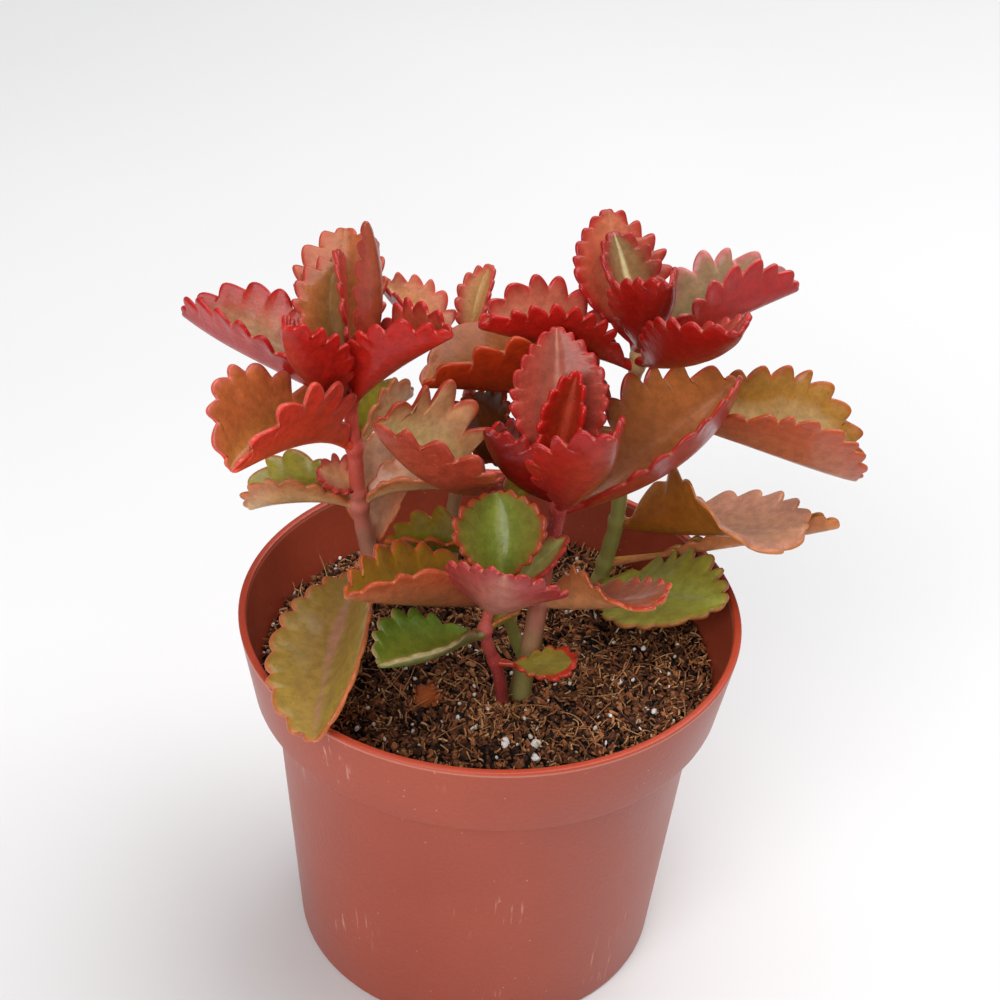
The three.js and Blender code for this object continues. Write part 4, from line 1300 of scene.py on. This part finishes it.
# %% [markdown]
# ## The soil
# Potting soil is not a surface but a heap of crumbs, flakes of bark, coir fibres and white grains, with
# dark gaps between them. A bump texture on a smooth mound would look like cake. So there is a rough
# mound that fills the pot, and geometry nodes strew thousands of small pieces over it. Each kind has its
# own shape, size and density, and a fixed seed.

# %% The height of the mound
SOIL_GAP = 0.3
SOIL_RADIUS = COLLAR_LOWER_RADIUS - RIM_WALL - SOIL_GAP
SOIL_CENTRE_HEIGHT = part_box("soil")[1][2] / MM
HEAP_PLACE = (5, -26)
HEAP_HEIGHT = 2.2
HEAP_SPREAD = 60


def soil_height(x, y):
    """The height of the mound, with lumps, hollows and the little heap before the front stem."""
    share = min(1, math.hypot(x, y) / SOIL_RADIUS)
    height = SOIL_EDGE_HEIGHT + (SOIL_CENTRE_HEIGHT - SOIL_EDGE_HEIGHT) * (1 - share**2)
    lumps = 0.9 * math.sin(x * 0.21 + 1.3) * math.cos(y * 0.19 - 0.4)
    lumps += 0.6 * math.sin(x * 0.47 - y * 0.39)
    lumps += 0.55 * math.sin(x * 1.1 + 2) * math.sin(y * 1.3 + 1)
    lumps += 0.5 * math.sin(x * 0.83 + y * 1.07 + 1.5 * math.sin(y * 0.5))
    away = (x - HEAP_PLACE[0]) ** 2 + (y - HEAP_PLACE[1]) ** 2
    heap = HEAP_HEIGHT * math.exp(-away / HEAP_SPREAD)
    return height + (lumps - 0.9) * (1 - share**4) + heap


def mound_points(rings, sides):
    """Points and faces of the mound's top, ring by ring, with every other ring turned by half a step."""
    points, faces = [(0, 0, soil_height(0, 0))], []
    for ring in range(1, rings + 1):
        radius = SOIL_RADIUS * ring / rings
        for step in range(sides):
            angle = 2 * math.pi * (step + 0.5 * (ring % 2)) / sides
            x, y = radius * math.cos(angle), radius * math.sin(angle)
            points.append((x, y, soil_height(x, y)))
    for step in range(sides):
        faces.append((0, 1 + step, 1 + (step + 1) % sides))
    for ring in range(rings - 1):
        faces += band(1 + ring * sides, sides)
    return points, faces


def band(first, sides):
    """Faces between a ring of points that starts at first and the ring that follows it."""
    faces = []
    for step in range(sides):
        after = (step + 1) % sides
        faces.append((first + step, first + sides + step, first + sides + after, first + after))
    return faces


# %% The finish of the soil
def soil_finish(name, colours, rough):
    """Matt, uneven organic matter; the colour of a piece is drawn by the number written on it."""
    finish, tree, shader = new_finish(name)
    place = object_place(tree)
    grain = noise(tree, place, 900, 3, 0.65)
    pick = swayed(tree, reading(tree, "shade"), grain, 0.3)
    stops = [(step / (len(colours) - 1), paint(*colour)) for step, colour in enumerate(colours)]
    patches = between(tree, noise(tree, place, 90, 2), 0.3, 0.7, 0.8, 1.1)
    set_inputs(tree, shader, {
        "Base Color": blend(tree, 1.0, ramp(tree, pick, stops), patches, "MULTIPLY"),
        "Roughness": between(tree, grain, 0.3, 0.7, rough - 0.08, rough + 0.08),
        "Normal": bump(tree, grain, 0.0006, 0.7),
        "Specular IOR Level": 0.3,
    })
    return finish


# %% The mound
MOUND_RINGS = 56
MOUND_SIDES = 180
LEDGE_GAP = 0.8
# The mound has the colour of dark soil, painted darker still: between the strewn bits it stands for the
# shade in the gaps.
DARK_SOIL_AND_GAP_SHADE = [(14, 9, 7), (24, 15, 11), (38, 24, 17)]


def soil_bed():
    """The mound, closed below by two rings along the pot's wall and a point on its floor."""
    points, faces = mound_points(MOUND_RINGS, MOUND_SIDES)
    floor_height = FLOOR_THICKNESS + SOIL_GAP
    lower_rings = (
        (BODY_TOP_RADIUS - BODY_WALL - SOIL_GAP, POT_HEIGHT - COLLAR_HEIGHT - LEDGE_GAP),
        (FOOT_RADIUS - BODY_WALL - SOIL_GAP, floor_height),
    )
    for radius, height in lower_rings:
        faces += band(len(points) - MOUND_SIDES, MOUND_SIDES)
        for step in range(MOUND_SIDES):
            angle = 2 * math.pi * step / MOUND_SIDES
            points.append((radius * math.cos(angle), radius * math.sin(angle), height))
    last, centre = len(points) - MOUND_SIDES, len(points)
    points.append((0, 0, floor_height))
    for step in range(MOUND_SIDES):
        faces.append((last + step, centre, last + (step + 1) % MOUND_SIDES))
    return points, faces


mound = piece_from("soil_bed", *soil_bed(), soil_finish("soil_with_gap_shade", DARK_SOIL_AND_GAP_SHADE, 0.9))
seat(mound, "soil", "soil")
print("soil bed:", len(mound.data.polygons), "faces")


# %% The shapes of the bits
def lump(subdivisions, roughness, scale):
    """A small uneven lump, about one metre across before it is scaled down."""
    def make(tree):
        ball = add_node(tree, "GeometryNodeMeshIcoSphere", {"Radius": 0.5, "Subdivisions": subdivisions})
        waves = add_node(tree, "ShaderNodeTexNoise", {"Scale": scale, "Detail": 1.0})
        shift = add_node(tree, "ShaderNodeVectorMath", {
            0: waves.outputs["Color"], 1: (0.5, 0.5, 0.5),
        }, operation="SUBTRACT")
        push = add_node(tree, "ShaderNodeVectorMath", {
            0: shift.outputs[0], "Scale": roughness,
        }, operation="SCALE")
        moved = add_node(tree, "GeometryNodeSetPosition", {
            "Geometry": ball.outputs["Mesh"], "Offset": push.outputs[0],
        })
        return moved.outputs["Geometry"]
    return make


def strand(bow, thickness):
    """A thin bowed strand, one metre long before it is scaled down."""
    def make(tree):
        line = add_node(tree, "GeometryNodeCurveQuadraticBezier", {
            "Resolution": 5, "Start": (-0.5, 0, 0), "Middle": (0.05, bow, bow * 0.4), "End": (0.5, 0, 0),
        })
        circle = add_node(tree, "GeometryNodeCurvePrimitiveCircle", {
            "Resolution": 3, "Radius": thickness,
        })
        tube = add_node(tree, "GeometryNodeCurveToMesh", {
            "Curve": line.outputs["Curve"], "Profile Curve": circle.outputs["Curve"], "Fill Caps": True,
        })
        return tube.outputs["Mesh"]
    return make


# %% The strewing tree
def random_value(tree, kind, low, high, seed):
    """A random number or vector. The node has its own sockets, called by number, for each kind."""
    vector = kind == "FLOAT_VECTOR"
    first = 0 if vector else 2
    inputs = {first: low, first + 1: high, 8: seed}
    node = add_node(tree, "FunctionNodeRandomValue", inputs, data_type=kind)
    return node.outputs[0 if vector else 1]


def clumped_density(tree, start):
    """The density, made thinner by Clumping between patches of noise."""
    spot = add_node(tree, "GeometryNodeInputPosition").outputs["Position"]
    patches = between(tree, noise(tree, spot, start.outputs["Clumps"]), 0.4, 0.62)
    bare = arithmetic(tree, "SUBTRACT", 1.0, patches)
    bare = arithmetic(tree, "MULTIPLY", start.outputs["Clumping"], bare)
    kept = arithmetic(tree, "SUBTRACT", 1.0, bare)
    return arithmetic(tree, "MULTIPLY", start.outputs["Density"], kept)


def strewing_tree(title, finish, bit):
    """Scatters one shape over a surface. bit(tree) gives the shape, about one metre in size."""
    tree, start, end = new_tree(title, [
        ("Density", "Float", 1e6), ("Seed", "Int", 1), ("Smallest", "Vector", (0.001, 0.001, 0.001)),
        ("Largest", "Vector", (0.002, 0.002, 0.002)), ("Tilt", "Float", 3.14), ("Lift", "Float", 0.0),
        ("Clumping", "Float", 0.0), ("Clumps", "Float", 100.0),
    ])
    points = add_node(tree, "GeometryNodeDistributePointsOnFaces", {
        "Mesh": start.outputs["Geometry"], "Density": clumped_density(tree, start),
        "Seed": start.outputs["Seed"],
    })
    tilt = start.outputs["Tilt"]
    back = arithmetic(tree, "MULTIPLY", tilt, -1.0)
    turn = add_node(tree, "ShaderNodeCombineXYZ", {
        "X": random_value(tree, "FLOAT", back, tilt, 11),
        "Y": random_value(tree, "FLOAT", back, tilt, 12),
        "Z": random_value(tree, "FLOAT", 0.0, 6.283, 13),
    })
    spin = add_node(tree, "FunctionNodeEulerToRotation", {"Euler": turn.outputs["Vector"]})
    scale = random_value(tree, "FLOAT_VECTOR", start.outputs["Smallest"], start.outputs["Largest"], 14)
    placed = add_node(tree, "GeometryNodeInstanceOnPoints", {
        "Points": points.outputs["Points"], "Instance": bit(tree), "Scale": scale,
        "Rotation": spin.outputs["Rotation"],
    })
    shade = add_node(tree, "GeometryNodeStoreNamedAttribute", {
        "Geometry": placed.outputs["Instances"], "Name": "shade",
        "Value": random_value(tree, "FLOAT", 0.0, 1.0, 15),
    }, data_type="FLOAT", domain="INSTANCE")
    up = add_node(tree, "ShaderNodeCombineXYZ", {"Z": start.outputs["Lift"]})
    lifted = add_node(tree, "GeometryNodeTranslateInstances", {
        "Instances": shade.outputs["Geometry"], "Translation": up.outputs["Vector"], "Local Space": False,
    })
    end_tree(tree, end, lifted.outputs["Instances"], finish)
    return tree


# %% The kinds of bits: sizes in metres, density in bits to a square metre
CRUMBS = [(26, 15, 10), (50, 29, 19), (86, 51, 32), (122, 74, 44), (156, 100, 62)]
FLAKES = [(46, 26, 16), (88, 50, 30), (132, 76, 44), (170, 104, 62), (196, 136, 90)]
STRANDS = [(92, 54, 32), (148, 94, 56), (192, 136, 88), (224, 178, 126)]
WHITE = [(206, 196, 180), (230, 226, 216), (244, 242, 238)]
STREWN = [
    ("soil_crumbs", lump(1, 0.6, 1.7), CRUMBS, dict(
        Density=4.2e5, Seed=3, Smallest=(0.0011, 0.001, 0.0009), Largest=(0.0034, 0.0029, 0.0024),
        Lift=0.0004, Clumping=0.6, Clumps=150)),
    ("soil_grit", lump(1, 0.6, 2.3), CRUMBS, dict(
        Density=1.1e6, Seed=8, Smallest=(0.0005, 0.0005, 0.0004), Largest=(0.0014, 0.0012, 0.0011),
        Lift=0.0007, Clumping=0.5, Clumps=240)),
    ("bark_flakes", lump(1, 0.5, 1.3), FLAKES, dict(
        Density=1.8e5, Seed=5, Smallest=(0.0012, 0.0004, 0.0003), Largest=(0.004, 0.0016, 0.0008),
        Tilt=0.9, Lift=0.0012, Clumping=0.5, Clumps=110)),
    ("coir_flecks", strand(0.12, 0.1), STRANDS, dict(
        Density=6.0e5, Seed=6, Smallest=(0.0009, 0.0012, 0.0012), Largest=(0.0028, 0.0034, 0.0034),
        Tilt=1.1, Lift=0.0013, Clumping=0.85, Clumps=130)),
    ("coir_strands", strand(0.2, 0.035), STRANDS, dict(
        Density=5.0e4, Seed=16, Smallest=(0.002, 0.002, 0.002), Largest=(0.0055, 0.005, 0.005),
        Tilt=0.7, Lift=0.0015, Clumping=0.7, Clumps=90)),
    ("coir_fibres", strand(0.22, 0.014), STRANDS, dict(
        Density=1.0e4, Seed=7, Smallest=(0.006, 0.006, 0.006), Largest=(0.013, 0.011, 0.011),
        Tilt=0.35, Lift=0.002)),
    ("white_grit", lump(2, 0.35, 1.5), WHITE, dict(
        Density=1.4e4, Seed=9, Smallest=(0.0003, 0.0003, 0.0003), Largest=(0.0015, 0.0012, 0.0012),
        Lift=0.0018)),
]

# %% Strew the soil
STREW_RINGS = 40
STREW_SIDES = 120

strew_mesh = mesh_from("strew", *mound_points(STREW_RINGS, STREW_SIDES))
for name, bit, colours, values in STREWN:
    finish = soil_finish(name + "_matter", colours, 0.85)
    piece = grown(name, strew_mesh.copy(), strewing_tree(name, finish, bit), values)
    seat(piece, "soil")
    print(name, len(piece.data.polygons), "faces")

# %% The heap of coir before the front stem
HEAP_SIDES = 16
HEAP_HALF_LENGTH = 9
HEAP_HALF_WIDTH = 5.5

heap_points = [(HEAP_PLACE[0], HEAP_PLACE[1], soil_height(*HEAP_PLACE))]
for step in range(HEAP_SIDES):
    angle = 2 * math.pi * step / HEAP_SIDES
    x = HEAP_PLACE[0] + HEAP_HALF_LENGTH * math.cos(angle)
    y = HEAP_PLACE[1] + HEAP_HALF_WIDTH * math.sin(angle)
    heap_points.append((x, y, soil_height(x, y)))
heap_fan = [(0, 1 + step, 1 + (step + 1) % HEAP_SIDES) for step in range(HEAP_SIDES)]
finish = soil_finish("coir_heap_matter", STRANDS, 0.8)
tree = strewing_tree("coir_heap", finish, strand(0.18, 0.07))
heap = grown("coir_heap", mesh_from("heap", heap_points, heap_fan), tree, dict(
    Density=2.6e6, Seed=21, Smallest=(0.0009, 0.0014, 0.0014), Largest=(0.0036, 0.004, 0.004),
    Tilt=1.3, Lift=0.0018, Clumping=0.8, Clumps=190))
seat(heap, "soil")
print("heap:", len(heap.data.polygons), "faces")

# %% [markdown]
# ## White grains, a lump of bark and loose fibres
# Some bits are large enough to be known one by one: the white mineral grains, an orange-brown lump of
# bark before the small stem, and a few stiff fibres that stick up. They are made singly, at their own
# places on the mound.


# %% Single bits
def pebble(place, size, seed, stretch=(1, 1, 1), lift=0):
    """Points and faces of an uneven grain that lies on the mound, or a little above it."""
    chance = random.Random(seed)
    shape = bmesh.new()
    bmesh.ops.create_icosphere(shape, subdivisions=2, radius=size / 2)
    spin = Matrix.Rotation(chance.uniform(0, 6.28), 3, "Z")
    spin = spin @ Matrix.Rotation(chance.uniform(0, 3), 3, "X")
    lean = [chance.uniform(-0.3, 0.3) for _ in range(9)]
    points = []
    for corner in shape.verts:
        unit = corner.co.normalized()
        wave = 1 + lean[0] * unit.x * unit.y * 2 + lean[1] * math.sin(4 * unit.x + lean[2] * 9)
        wave += lean[3] * math.sin(5 * unit.y + lean[4] * 9) * 0.8 + lean[5] * math.sin(7 * unit.z) * 0.5
        point = Vector((corner.co[axis] * stretch[axis] for axis in range(3))) * wave
        points.append(spin @ point)
    faces = [tuple(v.index for v in face.verts) for face in shape.faces]
    shape.free()
    ground = soil_height(*place) + size * 0.3 + lift
    return [(p.x + place[0], p.y + place[1], p.z + ground) for p in points], faces


def joined_piece(name, shapes, finish, shade):
    """One piece of several shapes, each given by its points and faces, all of one shade."""
    points, faces = [], []
    for shape_points, shape_faces in shapes:
        start = len(points)
        points += list(shape_points)
        faces += [tuple(start + corner for corner in face) for face in shape_faces]
    piece = piece_from(name, points, faces, finish, {"shade": np.full(len(points), shade)})
    seat(piece, "soil")


# %% White grains: place on the mound and size
GRAINS = [
    (-3, -1, 1.8), (-19, -12, 1), (-29, -19, 1.3), (-23, -31, 1.4), (-10, -25, 1), (-12, -26, 1.1),
    (-6, -25, 1.7), (5, -34, 2.6), (12, -32, 2.8), (12, -37, 2.4), (-8, -19, 1), (-10, -31, 0.9),
    (22, 37, 2.2), (20, 29, 1.7), (16, 3, 2.3), (19, 1, 1.7), (22, -5, 1.6), (25, -5, 1.9), (32, -7, 1.7),
    (38, -16, 1.6), (40, -17, 1.8), (36, -21, 1.5), (40, -22, 1.4), (-7, 9, 1.6), (-30, 4, 1.5),
    (-41, 35, 1.6), (-14, 18, 1.5), (2, 16, 1.4), (30, -20, 0.9), (24, -13, 1),
]
FIRST_GRAIN_SEED = 100
FLATTENED = (1, 0.8, 0.75)

grains = [
    pebble((x, y), size, seed, FLATTENED) for seed, (x, y, size) in enumerate(GRAINS, FIRST_GRAIN_SEED)
]
joined_piece("white_grains", grains, soil_finish("white_mineral", WHITE, 0.8), 0.8)
print("grains:", len(GRAINS))

# %% The lump of bark, with small bits on it
BARK = [(120, 56, 22), (158, 80, 36), (184, 104, 54)]
BARK_PLACE = (-14, -19)
BARK_SIZE = 5.8
BARK_BITS = 60
FIRST_BIT_SEED = 30

bits = [pebble(BARK_PLACE, BARK_SIZE, 7, (1, 0.9, 0.75))]
chance = random.Random(4)
for seed in range(FIRST_BIT_SEED, FIRST_BIT_SEED + BARK_BITS):
    angle, reach = chance.uniform(0, 6.28), BARK_SIZE / 2 * chance.uniform(0, 1.15)
    spot = (BARK_PLACE[0] + reach * math.cos(angle), BARK_PLACE[1] + 0.9 * reach * math.sin(angle))
    rise = 0.6 * math.sqrt(max(0, (BARK_SIZE / 2) ** 2 - reach**2)) + 0.6
    bits.append(pebble(spot, chance.uniform(0.7, 1.5), seed, lift=rise))
joined_piece("bark_lump", bits, soil_finish("orange_bark", BARK, 0.85), 0.5)
print("bits of bark:", len(bits))

# %% Loose fibres
FIBRES = [
    [(-47, 14, 77), (-48, 16, 82), (-47, 17, 87)],
    [(-49, 20, 77), (-50, 23, 81), (-53, 24, 84)],
    [(-40, 33, 78), (-47, 38, 82), (-55, 38, 87)],
    [(-41, 26, 78), (-43, 29, 83), (-44, 29, 86)],
    [(-24, -16, 80), (-22, -13, 82), (-20, -10, 84)],
    [(-20, -17, 80), (-18, -13, 82.5), (-17, -10, 84)],
    [(-8, -19, 80), (-5, -17, 83), (-4, -18, 86)],
    [(1, -18, 82), (2, -15, 84), (4, -14, 85)],
    [(29, -9, 79), (33, -5, 82), (35, 2, 83)],
    [(36, -14, 78), (37, -10, 81), (33, -4, 82)],
    [(26, -32, 78), (25.5, -31.5, 82), (24, -30, 84)],
    [(-14, -34, 79), (-9, -31, 81), (-4, -28, 82)],
    [(-33, -22, 79), (-27, -22, 80.5), (-20, -19, 81)],
    [(44, -12, 77), (47, -9, 79), (47.5, -6, 83)],
]
FIBRE_HALF_WIDTH = 0.16
FIBRE_CORNERS = (0, 2.094, 4.189)


def fibre(path):
    """Points and faces of a thin three-sided fibre that tapers along a path."""
    curve = smooth_path(path, per_span=6)
    points = []
    for number, point in enumerate(curve):
        half = FIBRE_HALF_WIDTH * (1 - 0.6 * number / len(curve))
        for angle in FIBRE_CORNERS:
            points.append(tuple(point + np.array([half * math.cos(angle), half * math.sin(angle), 0])))
    faces = []
    for first in range(0, 3 * (len(curve) - 1), 3):
        for side in range(3):
            after = (side + 1) % 3
            faces.append((first + side, first + after, first + 3 + after, first + 3 + side))
    last = 3 * (len(curve) - 1)
    faces += [(2, 1, 0), (last, last + 1, last + 2)]
    return points, faces


fibres = [fibre(path) for path in FIBRES]
joined_piece("loose_fibres", fibres, soil_finish("dry_fibre", STRANDS, 0.7), 0.8)
print("loose fibres:", len(FIBRES))

# %% [markdown]
# ## Floor and light
# The plant stood on white paper under large soft lights, so almost no shadow falls and the shine on the
# leaves is broad. A pale floor, a large soft lamp above, a smaller one in front and a faint even sky do
# the same.

# %% Floor
FLOOR_REACH = 6000
PAPER = [(224, 224, 225), (228, 228, 229)]


def floor_finish():
    """Matt white paper, a touch uneven."""
    finish, tree, shader = new_finish("pale_paper")
    grain = noise(tree, object_place(tree), 3, 2)
    set_inputs(tree, shader, {
        "Base Color": ramp(tree, grain, [(0.3, paint(*PAPER[0])), (0.7, paint(*PAPER[1]))]),
        "Roughness": 0.8,
        "Specular IOR Level": 0.2,
    })
    return finish


corners = [(-FLOOR_REACH, -FLOOR_REACH, 0), (FLOOR_REACH, -FLOOR_REACH, 0)]
corners += [(FLOOR_REACH, FLOOR_REACH, 0), (-FLOOR_REACH, FLOOR_REACH, 0)]
floor_mesh = mesh_from("floor", corners, [(0, 1, 2, 3)])
floor_mesh.materials.append(floor_finish())
floor = add_object("floor", floor_mesh)

# %% Light
LIT_PLACE = Vector((0, 0, 0.11))
SKY_STRENGTH = 0.23


def soft_lamp(name, place, width, power):
    """A square lamp, in metres and watts, that looks at the middle of the plant."""
    lamp = bpy.data.lights.new(name, "AREA")
    lamp.shape = "SQUARE"
    lamp.size = width
    lamp.energy = power
    holder = add_object(name, lamp)
    holder.location = place
    holder.rotation_euler = (LIT_PLACE - Vector(place)).to_track_quat("-Z", "Y").to_euler()


soft_lamp("lamp_above", place=(0.4, 0.35, 1.2), width=1.4, power=20)
soft_lamp("lamp_front", place=(-0.45, -1.0, 0.85), width=0.8, power=12)
sky = bpy.data.worlds.new("studio")
sky.use_nodes = True
set_inputs(sky.node_tree, sky.node_tree.nodes["Background"], {
    "Color": (1, 1, 1, 1), "Strength": SKY_STRENGTH,
})
bpy.context.scene.world = sky
bpy.context.scene.view_settings.view_transform = "Standard"
print("lamps: 2")
